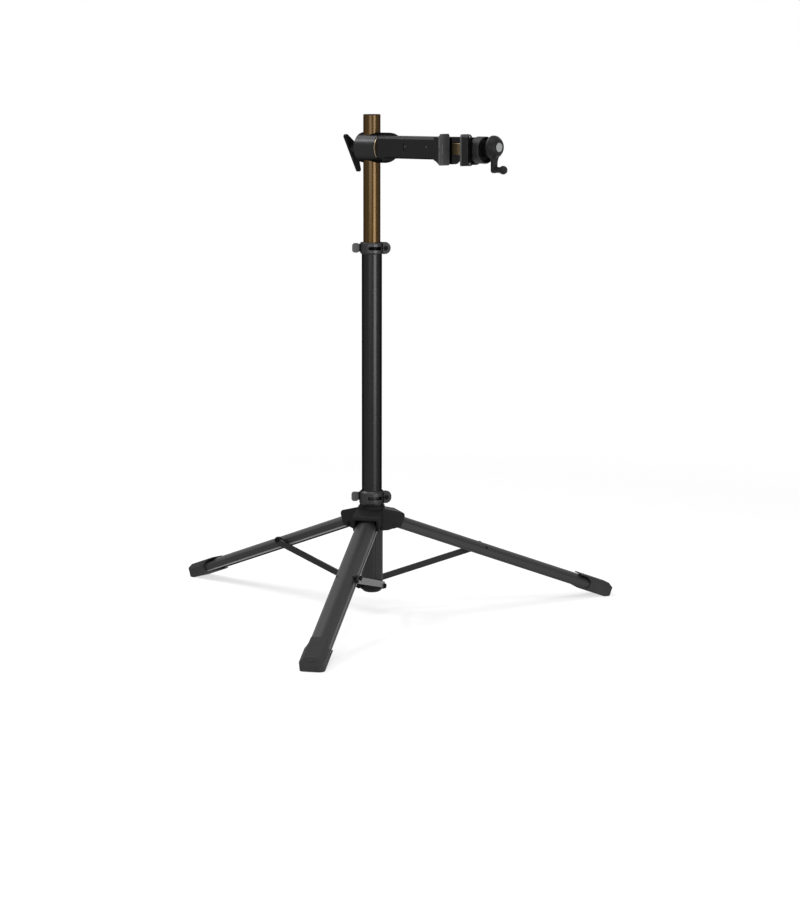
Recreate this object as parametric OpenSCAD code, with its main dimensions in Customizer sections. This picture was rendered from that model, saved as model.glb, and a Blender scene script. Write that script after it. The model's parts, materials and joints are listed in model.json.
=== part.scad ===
// Folding repair stand for bicycles: a three-legged base whose legs fold up round the column,
// a telescopic mast, and a swivelling clamp arm closed by a hand crank.
// Millimetres. +Z is up, the origin is on the floor under the column, the clamp arm points along +X.

/* [Column] */
// Outer diameter of the column tube
column_od = 45; // [44:0.5:47]
// Wall of the column tube
column_wall = 1.8; // [1.4:0.1:2.1]
// Height of the column tube's top edge
column_top = 826; // [810:1:845]
// Height of the column tube's bottom edge, where the base plug begins
column_bottom = 74.5; // [73:0.5:78]
// Wall of the sleeve that the hub comes to rest on
sleeve_wall = 2.2; // [1.8:0.1:2.8]
// Depth of the rounded plug below the column
plug_h = 32; // [30:0.5:36]
// Rounding of the plug's lower edge
plug_round = 24; // [20:0.5:24]
// Wall and floor of the plug's hollow spigot
plug_wall = 4; // [3:0.5:6]
// Length of the plug's spigot inside the column
spigot_l = 34; // [25:1:40]

/* [Mast] */
// Outer diameter of the mast tube
mast_od = 38; // [36.5:0.5:38.5]
// Wall of the mast tube
mast_wall = 2; // [1.5:0.1:3]
// Height of the mast tube's top edge above the clamp arm's axis
mast_top = 70; // [57:1:87]
// Height of the mast tube's bottom edge inside the column
mast_bottom = 290; // [280:1:320]
// Height of the cap on the mast
mast_cap_h = 2.5; // [2:0.1:5]
// Length of the slide bush at the top of the column
bush_l = 50; // [40:1:60]
// Length of the guide on the mast's lower end
guide_l = 40; // [30:1:50]

/* [Fold linkage] */
// Radius of the leg pivots in the hub
pivot_r = 44; // [43:0.25:46]
// Height of the leg pivots in the hub
hub_pivot_z = 198; // [197:0.5:200]
// Distance of the strut pivots on the base plug from the column's middle, along the leg
plug_pivot_r = 12; // [10:0.5:14]
// Height of the strut pivots on the base plug
plug_pivot_z = 60.5; // [59:0.25:62]
// Radius at which a strut meets its leg
strut_joint_r = 268; // [262:1:274]
// Slope of the legs below level
leg_slope = 20.4; // [20:0.1:20.8]
// How far a leg's pivot lies below the middle of its section
leg_pivot_drop = 10; // [9.5:0.25:11]
// Diameter of the pins that hold the legs in the hub
leg_pin_d = 8; // [6:0.5:9]
// Diameter of the pins at both ends of the struts
strut_pin_d = 6; // [5:0.5:6.5]
// Diameter of the strut bolts' heads
bolt_head_d = 10; // [9:0.5:12]
// Height of the strut bolts' heads
bolt_head_h = 4; // [3:0.25:5]
// Radial running clearance of every pin in its hole
pin_play = 0.06; // [0.04:0.01:0.1]
// Radial clearance of the rear and front legs' pivot holes
fold_play = 1.4; // [1.3:0.1:2]
// Radial clearance of the hub on the column
column_play = 1; // [0.9:0.1:1.3]

/* [Legs] */
// Width of a leg over its lips
leg_w = 47.5; // [45:0.5:49]
// Height of a leg's section
leg_h = 26.8; // [26:0.2:28]
// Rise of the arched top of a leg
leg_crown = 11; // [9:0.5:12]
// Wall of a leg
leg_wall = 2.2; // [1.8:0.1:2.8]
// How far the lips stand out along a leg's lower edges
lip_out = 1.2; // [0.8:0.1:1.6]
// Height of the lips
lip_h = 4.5; // [4:0.5:6]
// Radius of the ears round a leg's pivot
ear_eye_r = 9; // [8:0.25:9.5]

/* [Feet] */
// Width of a foot cap
foot_w = 53; // [51:0.5:56]
// Height of a foot cap's section
foot_h = 33; // [32:0.5:35]
// Length of a foot cap along its tongues
foot_l = 88; // [80:1:95]
// Length of a foot cap along its sides
foot_side_l = 60; // [55:1:65]
// Length of the flat sole
sole_l = 18; // [15:0.5:21]
// End wall of a foot cap beyond the leg
foot_wall = 6; // [5:0.5:8]

/* [Struts] */
// Thickness of a strut
strut_t = 5; // [4:0.25:6]
// Height of a strut
strut_h = 14; // [12:0.5:15]
// How far the middle of a strut lies above its pivot on the plug
strut_foot_rise = 3; // [2:0.25:3.5]
// How far the middle of a strut lies below its pivot on the leg
strut_joint_drop = 4.5; // [3:0.25:5]
// Wall of a strut's eyes round their pins
strut_eye_wall = 4; // [3:0.25:5]
// Gap between a strut and the leg beside it
strut_gap = 2.9; // [2.8:0.1:4]

/* [Hub] */
// Height of the hub's lower face
hub_bottom = 187; // [185:0.5:188]
// Height of the hub's upper face
hub_top = 242; // [240:0.5:245]
// Radius of the hub's barrel
barrel_r = 29; // [28:0.25:30]
// Thickness of the cheeks beside each leg
cheek_t = 5; // [4.5:0.1:6]
// Gap between a leg and its cheeks
cheek_gap = 1; // [0.9:0.1:1.2]
// Thickness of the roof over each leg
roof_t = 6; // [5:0.25:7]
// Gap between a leg's crown and the roof
roof_gap = 4; // [3:0.25:5]
// Length of the cheeks beyond the pivot
nose_l = 16; // [14:0.5:17]
// Radius of the nose's upper edge
nose_round = 9; // [7:0.5:11]
// How far the lower edge of the cheeks rises towards the pivot
cheek_rise = 5; // [3:0.25:5]
// Wall of the bush between the hub and the column
hub_bush_wall = 1.5; // [1.2:0.1:2]

/* [Clamp collars] */
// Radial wall of the column's collar
column_collar_wall = 3.6; // [3:0.1:4.5]
// Height of the column's collar
column_collar_h = 26; // [25:0.5:30]
// How far the column's collar stands above the tube
collar_over = 5; // [3:0.5:7]
// Radial wall of the hub's collar
hub_collar_wall = 4.9; // [4.3:0.1:5.5]
// Height of the hub's collar
hub_collar_h = 34; // [30:0.5:38]
// Height of the hub collar's bolt above the hub
hub_clamp_h = 18.7; // [17:0.1:20]
// Height of the collars' ears
ear_h = 26; // [22:0.5:26]
// How far an ear reaches beyond its collar
ear_out = 15.5; // [14:0.5:18]
// Half thickness of a pair of ears
ear_t = 8; // [7:0.25:10]
// Slit between the two ears
ear_slit = 2.5; // [2:0.25:4]
// Direction of the ears round the column
ear_az = 41.5; // [35:0.5:50]
// Diameter of the pinch bolts
pinch_d = 6; // [5:0.5:6.5]
// Distance of the pinch bolts from their ring
bolt_out = 4.5; // [4:0.25:5.5]
// Height of the slot in the collars' front
relief_h = 7.5; // [6:0.5:9]
// Radius of the levers' cam barrels
cam_r = 7; // [6.5:0.25:8]
// Offset of the cam from its pin
cam_e = 0.8; // [0.5:0.1:1.2]
// Diameter of the cam pins
cam_pin_d = 5; // [4:0.5:5.5]
// Thickness of a lever
lever_t = 5.5; // [4.5:0.25:6.5]
// Height of a lever
lever_h = 17; // [15:0.5:19]
// Gap between a lever and its ring
lever_gap = 1.5; // [1:0.1:3]
// Width of a lever's finger tab
tab_w = 16; // [14:0.5:20]
// Height of a lever's finger tab
tab_h = 21; // [19:0.5:23]

/* [Head] */
// Height of the clamp arm's axis
head_z = 1038; // [1025:1:1045]
// Diameter of the head housing and of the arm's root
head_d = 66; // [62:0.5:70]
// Length of the head housing behind the mast's axis
head_back = 30.6; // [29:0.2:34]
// Length of the head housing in front of the mast's axis
head_front = 33.6; // [31:0.2:36]
// Chamfer round the housing's back
head_chamfer = 6; // [4:0.5:8]
// Diameter of the spindle through the head
spindle_d = 16; // [13:0.5:18]
// Thickness of the bright ring between housing and arm
ring_t = 2.2; // [1:0.1:4]
// How far the bright ring stands out from the housing
ring_out = 0.4; // [0.2:0.1:1]
// Length of the wing lever's long wing
wing_long = 52.5; // [46:0.5:58]
// Length of the wing lever's short wing
wing_short = 30.8; // [26:0.2:36]
// Thickness of the wings
wing_t = 7; // [6:0.25:9]
// Length of the wing lever's boss
wing_boss_l = 27; // [25:0.5:32]
// Turn of the wing lever
wing_turn = 28.7; // [0:0.1:60]
// Radius of the wing lever's middle
wing_hub_r = 12; // [11:0.5:14]
// Radius of the wings' tips
wing_tip_r = 5; // [4:0.25:6]

/* [Arm] */
// Width of the arm
arm_w = 52; // [48:0.5:54]
// Height of the arm
arm_h = 48; // [46:0.5:50]
// Bevel along the arm's edges
arm_bevel = 6; // [4:0.5:8]
// How far the arm lies above the head's axis
arm_rise = 2.2; // [1:0.1:3]
// Length of the arm's round root along its top
root_l = 24; // [20:0.5:32]
// Length of the slope from the root down to the arm
shoulder_l = 10; // [8:0.5:14]
// Length of the round root along its bottom
under_l = 2.5; // [1:0.5:8]
// Depth of the spindle's seat in the arm's root
spindle_seat = 20; // [14:0.5:26]
// Distance of the arm's end from the mast's axis
arm_end = 208; // [195:1:215]

/* [Clamp] */
// Distance of the fixed pad's gripping face from the mast's axis
grip_x = 236.5; // [230:0.5:242]
// Opening between the pads as it stands
grip_gap = 49; // [47:0.5:56]
// Travel of the moving jaw
jaw_travel = 40; // [35:1:42]
// Thickness of the pads
pad_t = 7.6; // [6:0.2:9]
// Width of the pads
pad_w = 34; // [31:0.5:36]
// Height of the pads
pad_h = 66.6; // [64:0.2:70]
// Bevel at the pads' corners
pad_corner = 6; // [4:0.5:8]
// Bevel along the pads' upright edges
pad_bevel = 4; // [2:0.5:5]
// Distance of the pads' inner edge from the middle of the arm
pad_y = 9.7; // [9.7:0.1:11]
// How far the jaws reach below the head's axis
jaw_low = 31.3; // [30:0.1:33]
// Distance of the jaws' far side from the middle of the arm
jaw_far_y = 22; // [20:0.5:25]
// Rounding of the jaws' lower far edge
jaw_round = 20; // [16:0.5:22]
// Thickness of the moving jaw
jaw_t = 17; // [15:0.5:19]
// Width of the upright plate that carries the moving pad
plate_w = 15; // [13:0.5:18]
// Length of the flare under the fixed jaw
flare_l = 19; // [17:0.5:20]
// How far the flare drops below the arm
flare_drop = 9; // [7:0.25:10]
// Width of the slide rail
rail_w = 18; // [17:0.25:19]
// Height of the slide rail
rail_h = 24.3; // [23:0.1:25.5]
// Wall of the slide rail
rail_wall = 2.5; // [2:0.1:2.8]
// Length of the rail held inside the arm
rail_hold = 40; // [36:1:44]
// Sliding gap between the rail and the jaw that guides it
rail_gap = 0.35; // [0.25:0.05:0.6]
// Diameter of the lead screw
screw_d = 9; // [8:0.25:9.5]
// Height of the lead screw above the arm's axis
screw_rise = 6.5; // [6:0.25:7]

/* [Crank] */
// Diameter of the drum behind the moving jaw
drum_d = 57; // [54:0.5:60]
// Length of the drum
drum_l = 28; // [24:0.5:31]
// Depth of the recess in the drum's end
drum_recess = 8; // [6:0.5:10]
// Rim round the recess in the drum's end
drum_rim = 2.2; // [2:0.1:4]
// Gap between the drum and the crank
crank_gap = 4; // [3:0.5:10]
// Radius of the crank's root
crank_root_r = 23; // [20:0.5:25]
// Depth of the crank's dome
crank_dome = 16; // [12:0.5:18]
// Radius of the cap's recess in the dome
cap_seat_r = 12.2; // [11:0.1:14]
// Throw of the crank
crank_throw = 47; // [44:0.5:52]
// Radius of the crank's lower end
crank_tip_r = 7; // [6.5:0.25:9]
// Thickness of the crank's arm
crank_t = 9; // [7:0.5:11]
// Length of the crank's knob
knob_l = 26; // [23:0.5:30]
// Diameter of the knob's end
knob_d = 18.2; // [16:0.2:20]
// Diameter of the knob's neck
knob_neck_d = 12.5; // [10:0.5:13]
// Diameter of the knob's pin
knob_pin_d = 6; // [5:0.5:7]

/* [Hidden] */
$fn = 64;

// Overshoot of a cutting shape past the face that it cuts
over = 1;
// Gap between solids that move past each other
move_gap = 0.3;
// Gap between pieces that are pushed together
seat_gap = 0.05;
// Radial clearance of the mast's guide in the column
slide_play = 0.1;
// How far a straight edge runs inside the round corner that it meets
bite = 0.15;

// Directions of the right, rear and front leg
leg_az = [60, 180, 300];

column_r = column_od / 2;
column_in_r = column_r - column_wall;
mast_r = mast_od / 2;
sleeve_r = column_r + sleeve_wall;
plug_bottom = column_bottom - plug_h;

// The height of the strut's joint lets the hub rise straight up the column as the strut swings:
// the turn of the strut and that of the leg then keep one ratio, almost without play.
strut_run = strut_joint_r - plug_pivot_r;
leg_run = strut_joint_r - pivot_r;
fold_ratio = sqrt(leg_run / strut_run);
strut_joint_z = (hub_pivot_z + fold_ratio * plug_pivot_z) / (1 + fold_ratio);
strut_rise = strut_joint_z - plug_pivot_z;
leg_drop = hub_pivot_z - strut_joint_z;
strut_l = norm([strut_run, strut_rise]);
strut_slope = atan2(strut_rise, strut_run);

// The strut's joint in the leg's own axes, which start at the leg's pivot
joint_x = leg_run * cos(leg_slope) + leg_drop * sin(leg_slope);
joint_z = leg_run * sin(leg_slope) - leg_drop * cos(leg_slope);

leg_side = leg_w / 2 - lip_out;
leg_root = 8;
foot_floor_x = (hub_pivot_z + (leg_pivot_drop - foot_h / 2) * cos(leg_slope)) / sin(leg_slope);
leg_end = foot_floor_x + sole_l * cos(leg_slope);

strut_in = leg_w / 2 + strut_gap;
strut_out = strut_in + strut_t;
strut_eye_r = strut_pin_d / 2 + strut_eye_wall;
pin_depth = 12;

cheek_in = leg_w / 2 + cheek_gap;
cheek_out = cheek_in + cheek_t;
roof_under = leg_pivot_drop + leg_h / 2 + roof_gap;
roof_over = roof_under + roof_t;
yoke_lift = 0.8;

column_collar_r = column_r + column_collar_wall;
column_collar_z = column_top + collar_over - column_collar_h;
hub_bore_r = column_r + column_play;
hub_collar_r = hub_bore_r + hub_collar_wall;

cam_y = ear_t + move_gap + cam_r + cam_e;
bolt_eye_edge = 0.5;
bolt_eye_h = pinch_d + 2 * bolt_eye_edge;
cam_slot_h = bolt_eye_h + 2 * move_gap;
cam_slot_r = cam_r + cam_e + over;
bolt_eye_wall = 3;
bolt_eye_r = cam_pin_d / 2 + bolt_eye_wall;
bolt_head_edge = 2;
bolt_head_r = pinch_d / 2 + bolt_head_edge;

head_r = head_d / 2;
mast_top_z = head_z + mast_top;
spindle_r = spindle_d / 2;
stud_step = 2;
stud_r = spindle_r - stud_step;
arm_x = head_front + move_gap + ring_t;
wing_end_wall = 4;
stud_end = head_back + move_gap + wing_boss_l - wing_end_wall;
insert_wall = 3;
insert_r = stud_r + insert_wall;
insert_over = 1;
arm_top = arm_rise + arm_h / 2;
arm_low = arm_h / 2 - arm_rise;
shoulder_x = arm_x + root_l - shoulder_l;
under_x = arm_x + under_l;

screw_z = head_z + screw_rise;
screw_r = screw_d / 2;
moving_x = grip_x + grip_gap;
jaw_x = moving_x + pad_t;
drum_x = jaw_x + jaw_t;
drum_end = drum_x + drum_l;
crank_x = drum_end + crank_gap;
fixed_face = grip_x - pad_t;
guide_out = 2.5;
guide_face = grip_x + guide_out;
rail_start = guide_face - rail_hold;
end_room = 6;
cavity_start = rail_start - jaw_travel - end_room;
nut_l = 20;
nut_in = 4;
nut_x = guide_face - nut_l - nut_in;
nut_half_w = rail_w / 2 - rail_wall - move_gap;
nut_under = 1.6;
nut_bottom = screw_rise - screw_r - nut_under;
nut_roof = 5;
nut_top = arm_top - nut_roof;
rail_floor = 3;
rail_lift = 1;
rail_low = rail_lift - rail_h / 2;
pad_near_y = pad_y + pad_w;
plate_in = 1;
plate_near_y = pad_near_y - plate_in;
crank_boss_wall = 6;
crank_boss_r = screw_r + crank_boss_wall;
knob_x = crank_x + crank_t + move_gap;
knob_pin_in = 6;
knob_end_wall = 4;
washer_t = 2;
cap_t = 2;

// A point of the leg's plane, radius and height, from the leg's own axes
function leg_point(x, z) = [
    pivot_r + x * cos(leg_slope) + z * sin(leg_slope),
    hub_pivot_z - x * sin(leg_slope) + z * cos(leg_slope)
];

// The radius of an arch from its half width and its rise
function arch_r(half_w, rise) = (half_w * half_w + rise * rise) / (2 * rise);

// Radius of an arched leg's top
crown_r = arch_r(leg_side, leg_crown);

// Turns the drawing plane so that X is radial in a leg's direction and Y is the tangent
module leg_plane(i) {
    rotate([0, 0, leg_az[i]]) children();
}

// The leg's own axes: X along the leg towards the foot, Y across it, Z up from it, from its pivot
module leg_axes(i) {
    leg_plane(i) translate([pivot_r, 0, hub_pivot_z]) rotate([0, leg_slope, 0]) children();
}

// The strut's own axes: X along its two pivots, Y across it, from the pivot on the base plug
module strut_axes(i) {
    leg_plane(i) translate([plug_pivot_r, 0, plug_pivot_z]) rotate([0, -strut_slope, 0]) children();
}

// A section in Y and Z, drawn out along X
module along_x(x0, x1) {
    translate([x0, 0, 0]) rotate([90, 0, 90]) linear_extrude(x1 - x0) children();
}

// An outline in X and Z, drawn out along Y
module along_y(y0, y1) {
    translate([0, y1, 0]) rotate([90, 0, 0]) linear_extrude(y1 - y0) children();
}

// A round bar along X
module rod_x(x0, x1, r) {
    translate([x0, 0, 0]) rotate([0, 90, 0]) cylinder(h = x1 - x0, r = r);
}

// A round bar along Y
module rod_y(y0, y1, r) {
    translate([0, y1, 0]) rotate([90, 0, 0]) cylinder(h = y1 - y0, r = r);
}

// A shape turned about X, from its outline in radius and X
module turned_x() {
    rotate([0, 90, 0]) rotate_extrude() children();
}

module tube(z0, z1, r_out, r_in) {
    translate([0, 0, z0]) difference() {
        cylinder(h = z1 - z0, r = r_out);
        translate([0, 0, -over]) cylinder(h = z1 - z0 + 2 * over, r = r_in);
    }
}

// A rectangle with round corners, about its middle
module rounded(w, h, r) {
    square([w - 2 * r, h], center = true);
    square([w, h - 2 * r], center = true);
    for (sx = [-1, 1], sy = [-1, 1]) translate([sx * (w / 2 - r), sy * (h / 2 - r)]) circle(r);
}

// What a round corner leaves out of a square one, whose tip is at the origin
module corner_waste(r) {
    difference() {
        translate([-r, -r]) square([r + over, r + over]);
        translate([-r, -r]) circle(r);
    }
}

// Two circles joined by straight edges, the second one at the distance d along X
module tangent_link(r1, r2, d) {
    turn = acos((r1 - r2) / d);
    edge_1 = r1 - bite;
    edge_2 = r2 - bite;
    circle(r1);
    translate([d, 0]) circle(r2);
    polygon([
        [edge_1 * cos(turn), edge_1 * sin(turn)],
        [d + edge_2 * cos(turn), edge_2 * sin(turn)],
        [d + edge_2 * cos(turn), -edge_2 * sin(turn)],
        [edge_1 * cos(turn), -edge_1 * sin(turn)]
    ]);
}

// Column

module column_tube() {
    color("#242526") tube(column_bottom, column_top, column_r, column_in_r);
}

// The sleeve has three shallow grooves, beside the legs
module stop_sleeve() {
    groove_w = 3;
    groove_d = 1.2;
    groove_turn = 30;
    color("#333435") difference() {
        tube(column_bottom, hub_bottom - move_gap, sleeve_r, column_r);
        for (az = leg_az) rotate([0, 0, az + groove_turn])
            translate([sleeve_r - groove_d, -groove_w / 2, column_bottom - over])
                cube([2 * groove_d, groove_w, hub_bottom]);
    }
}

// A spigot in the column, a rounded bowl below it, and three bosses that carry the struts
module base_plug() {
    boss_in = 10;
    color("#2c2d2e") difference() {
        union() {
            rotate_extrude() {
                translate([0, column_bottom]) square([column_in_r - seat_gap, spigot_l]);
                difference() {
                    translate([0, plug_bottom]) square([sleeve_r, plug_h]);
                    translate([sleeve_r, plug_bottom]) mirror([0, 1]) corner_waste(plug_round);
                }
            }
            for (i = [0:2]) strut_axes(i) rod_y(boss_in, strut_in - move_gap, strut_eye_r);
        }
        for (i = [0:2]) strut_axes(i) rod_y(pin_depth, strut_out, strut_pin_d / 2);
        translate([0, 0, column_bottom + plug_wall]) cylinder(h = spigot_l, r = column_in_r - plug_wall);
    }
}

// Three bolts in the plug's bosses, headed outside the struts
module strut_foot_pins() {
    color("#1c1c1d") for (i = [0:2]) strut_axes(i) {
        rod_y(pin_depth, strut_out + move_gap, strut_pin_d / 2);
        rod_y(strut_out + move_gap, strut_out + move_gap + bolt_head_h, bolt_head_d / 2);
    }
}

// Clamp collars: a ring with a slit between two ears, a relief slot in front, and a cam lever behind.
// In the collar's own axes X points along the ears and Y backwards, along the pinch bolt.

module collar_axes(z) {
    translate([0, 0, z]) rotate([0, 0, ear_az]) children();
}

ear_root = 3;
ear_sink = 1;
bolt_head_l = 4;
bolt_head_in = 0.5;
counterbore = bolt_head_l + bolt_head_in;

function ear_middle(ring_r) = ring_r + ear_out - ear_h / 2;
function bolt_x(ring_r) = ring_r + bolt_out;

module collar_ears(ring_r) {
    along_y(-ear_t, ear_t) {
        translate([ear_middle(ring_r), 0]) circle(ear_h / 2);
        translate([ring_r - ear_root, -ear_h / 2]) square([ear_middle(ring_r) - ring_r + ear_root, ear_h]);
    }
}

// What is cut from a collar: the slit, the bolt's hole and counterbore, and the relief slot
module collar_cuts(ring_r, h) {
    slot_start = -105.5;
    slot_turn = 71;
    translate([0, -ear_slit / 2, -h]) cube([ring_r + ear_out + over, ear_slit, 2 * h]);
    translate([bolt_x(ring_r), 0, 0]) {
        rod_y(-ear_t - over, ear_t + over, pinch_d / 2 + seat_gap);
        rod_y(-ear_t - over, counterbore - ear_t, bolt_head_r + move_gap);
    }
    rotate([0, 0, slot_start]) rotate_extrude(angle = slot_turn)
        translate([column_r - over, -relief_h / 2]) square([ring_r - column_r + 2 * over, relief_h]);
}

module pinch_bolt(ring_r, z) {
    head_y = bolt_head_in - ear_t;
    key_in = 0.5;
    key_floor = 1.5;
    key_r = pinch_d / 2 - key_in;
    key_depth = bolt_head_l - key_floor;
    collar_axes(z) translate([bolt_x(ring_r), 0, 0]) {
        rod_y(head_y + key_depth, cam_y, pinch_d / 2);
        difference() {
            rod_y(head_y, head_y + bolt_head_l, bolt_head_r);
            rod_y(head_y - over, head_y + key_depth, key_r, $fn = 6);
        }
        translate([0, cam_y, 0]) cylinder(h = bolt_eye_h, r = bolt_eye_r, center = true);
    }
}

// The bolt with the hole for its cam pin
module drilled_bolt(ring_r, z) {
    difference() {
        pinch_bolt(ring_r, z);
        collar_axes(z) translate([bolt_x(ring_r), cam_y, 0])
            cylinder(h = lever_h, r = cam_pin_d / 2, center = true);
    }
}

module cam_pin(ring_r, z) {
    pin_l = lever_h + over;
    collar_axes(z) translate([bolt_x(ring_r), cam_y, 0])
        cylinder(h = pin_l, r = cam_pin_d / 2, center = true);
}

// A forked cam barrel, an arm that wraps the back of the ring, and a finger tab opposite the ears
module qr_lever(ring_r, z) {
    arm_in = ring_r + lever_gap;
    arm_start = 32;
    arm_turn = 136;
    tab_y = 2;
    tab_round = 6;
    collar_axes(z) difference() {
        union() {
            translate([bolt_x(ring_r), cam_y - cam_e, 0]) cylinder(h = lever_h, r = cam_r, center = true);
            rotate([0, 0, arm_start]) rotate_extrude(angle = arm_turn)
                translate([arm_in, -lever_h / 2]) square([lever_t, lever_h]);
            along_y(tab_y, tab_y + lever_t)
                translate([-arm_in - tab_w / 2, 0]) rounded(tab_w, tab_h, tab_round);
        }
        translate([bolt_x(ring_r), cam_y, 0]) {
            cylinder(h = lever_h + 2 * over, r = cam_pin_d / 2 + pin_play, center = true);
            cylinder(h = cam_slot_h, r = cam_slot_r, center = true);
        }
    }
}

column_clamp_z = column_collar_z + column_collar_h / 2;
hub_clamp_z = hub_top + hub_clamp_h;

// The column's collar holds the tube's top and closes on the mast through the slide bush
module column_collar() {
    lip_r = mast_r + move_gap;
    top = column_collar_z + column_collar_h;
    bevel = 3;
    color("#4a4b4d") difference() {
        union() {
            rotate_extrude() polygon([
                [column_r, column_collar_z],
                [column_collar_r - bevel, column_collar_z],
                [column_collar_r, column_collar_z + bevel],
                [column_collar_r, top - bevel],
                [column_collar_r - bevel / 2, top],
                [lip_r, top],
                [lip_r, column_top],
                [column_r, column_top]
            ]);
            collar_axes(column_clamp_z) difference() {
                collar_ears(column_collar_r);
                cylinder(h = 2 * column_collar_h, r = column_collar_r - ear_sink, center = true);
            }
        }
        collar_axes(column_clamp_z) collar_cuts(column_collar_r, column_collar_h);
    }
}

module slide_bush() {
    color("#161616") tube(column_top - bush_l, column_top, column_in_r - seat_gap, mast_r + pin_play);
}

module column_pinch_bolt() {
    color("#2a2a2b") drilled_bolt(column_collar_r, column_clamp_z);
}

module column_cam_pin() {
    color("#8a8b8d") cam_pin(column_collar_r, column_clamp_z);
}

module column_qr_lever() {
    color("#55565a") qr_lever(column_collar_r, column_clamp_z);
}

// Hub

// The side outline of one yoke: a lower edge that rises to the pivot, a sloping roof and a round nose
module yoke_outline() {
    foot_z = hub_bottom + yoke_lift;
    union() {
        polygon([
            [0, foot_z],
            [barrel_r, foot_z],
            [pivot_r, hub_bottom + cheek_rise],
            leg_point(nose_l, 0),
            leg_point(nose_l, roof_over - nose_round),
            leg_point(nose_l - nose_round, roof_over),
            [0, hub_top - yoke_lift]
        ]);
        translate(leg_point(nose_l - nose_round, roof_over - nose_round)) circle(nose_round + bite);
    }
}

// A barrel on the column and three yokes: two cheeks and a roof round the end of each leg
module hub_body() {
    slot_back = 12;
    slot_l = 80;
    color("#1d1e1f") difference() {
        union() {
            translate([0, 0, hub_bottom]) cylinder(h = hub_top - hub_bottom, r = barrel_r);
            for (i = [0:2]) difference() {
                leg_plane(i) along_y(-cheek_out, cheek_out) yoke_outline();
                leg_axes(i) translate([-slot_back, -cheek_in, roof_under - slot_l])
                    cube([slot_l, 2 * cheek_in, slot_l]);
            }
        }
        translate([0, 0, hub_bottom - over])
            cylinder(h = hub_top - hub_bottom + 2 * over, r = hub_bore_r + hub_bush_wall);
        for (i = [0:2]) leg_axes(i) rod_y(-cheek_out - over, cheek_out + over, leg_pin_d / 2);
    }
}

module hub_bush() {
    color("#161616") tube(hub_bottom, hub_top, hub_bore_r + hub_bush_wall - seat_gap, hub_bore_r);
}

module hub_collar() {
    bevel = 4;
    top = hub_top + hub_collar_h;
    color("#4a4b4d") difference() {
        union() {
            rotate_extrude() polygon([
                [hub_bore_r, hub_top],
                [hub_collar_r - bevel / 2, hub_top],
                [hub_collar_r, hub_top + 2 * bevel],
                [hub_collar_r, top - bevel],
                [hub_collar_r - bevel, top],
                [hub_bore_r, top]
            ]);
            collar_axes(hub_clamp_z) difference() {
                collar_ears(hub_collar_r);
                cylinder(h = 2 * hub_collar_h, r = hub_collar_r - ear_sink, center = true);
            }
        }
        collar_axes(hub_clamp_z) collar_cuts(hub_collar_r, hub_collar_h + ear_h);
    }
}

// Three cross pins through the cheeks, each with two low heads
module leg_pivot_pins() {
    head_t = 1.5;
    head_edge = 1;
    pin_head_r = leg_pin_d / 2 + head_edge;
    color("#101011") for (i = [0:2]) leg_axes(i) {
        rod_y(-cheek_out, cheek_out, leg_pin_d / 2);
        rod_y(cheek_out, cheek_out + head_t, pin_head_r);
        rod_y(-cheek_out - head_t, -cheek_out, pin_head_r);
    }
}

module hub_pinch_bolt() {
    color("#2a2a2b") drilled_bolt(hub_collar_r, hub_clamp_z);
}

module hub_cam_pin() {
    color("#8a8b8d") cam_pin(hub_collar_r, hub_clamp_z);
}

module hub_qr_lever() {
    color("#55565a") qr_lever(hub_collar_r, hub_clamp_z);
}

// Legs, feet and struts

// An arched section that is open below when it is cut by a smaller one
module arch(half_w, top, bottom, r) {
    intersection() {
        translate([-half_w, bottom]) square([2 * half_w, top - bottom]);
        translate([0, top - r]) circle(r);
    }
}

// The leg's outer section about its middle, grown by a clearance
module leg_section(grow = 0) {
    low = -leg_h / 2 - grow;
    arch(leg_side + grow, leg_h / 2 + grow, low, crown_r + grow);
    for (s = [-1, 1]) polygon([
        [s * (leg_side + grow - over), low],
        [s * (leg_w / 2 + grow), low],
        [s * (leg_w / 2 + grow), low + lip_h - lip_out],
        [s * (leg_side + grow), low + lip_h],
        [s * (leg_side + grow - over), low + lip_h]
    ]);
}

// An arched channel with a lip along each lower edge, and two ears round its pivot
module leg(i) {
    ear_y = leg_side - leg_wall;
    hole_play = i == 0 ? pin_play : fold_play;
    color("#47484a") leg_axes(i) difference() {
        union() {
            translate([0, 0, leg_pivot_drop]) along_x(-leg_root, leg_end - foot_wall) difference() {
                leg_section();
                arch(leg_side - leg_wall, leg_h / 2 - leg_wall, -leg_h / 2 - over, crown_r - leg_wall);
            }
            rod_y(ear_y, leg_side, ear_eye_r);
            rod_y(-leg_side, -ear_y, ear_eye_r);
        }
        rod_y(-leg_w, leg_w, leg_pin_d / 2 + hole_play);
        translate([joint_x, 0, joint_z]) rod_y(-leg_w, leg_w, strut_pin_d / 2);
    }
}

// The side outline of a foot cap from its end backwards: a bevelled toe and a round heel
module foot_outline() {
    toe_l = 12;
    toe_h = 10;
    heel_r = 7;
    half = foot_h / 2;
    difference() {
        polygon([
            [-foot_l, half],
            [-toe_l, half],
            [0, half - toe_h],
            [0, -half],
            [-foot_l, -half]
        ]);
        translate([0, -half]) mirror([0, 1]) corner_waste(heel_r);
    }
}

// The outline of a foot cap seen along the leg, with broad bevels at the top
module foot_section() {
    half_w = foot_w / 2;
    half_h = foot_h / 2;
    bevel_w = 10;
    bevel_h = 11;
    low_bevel = 2;
    polygon([
        [half_w - low_bevel, -half_h],
        [half_w, low_bevel - half_h],
        [half_w, half_h - bevel_h],
        [half_w - bevel_w, half_h],
        [bevel_w - half_w, half_h],
        [-half_w, half_h - bevel_h],
        [-half_w, low_bevel - half_h],
        [low_bevel - half_w, -half_h]
    ]);
}

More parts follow.
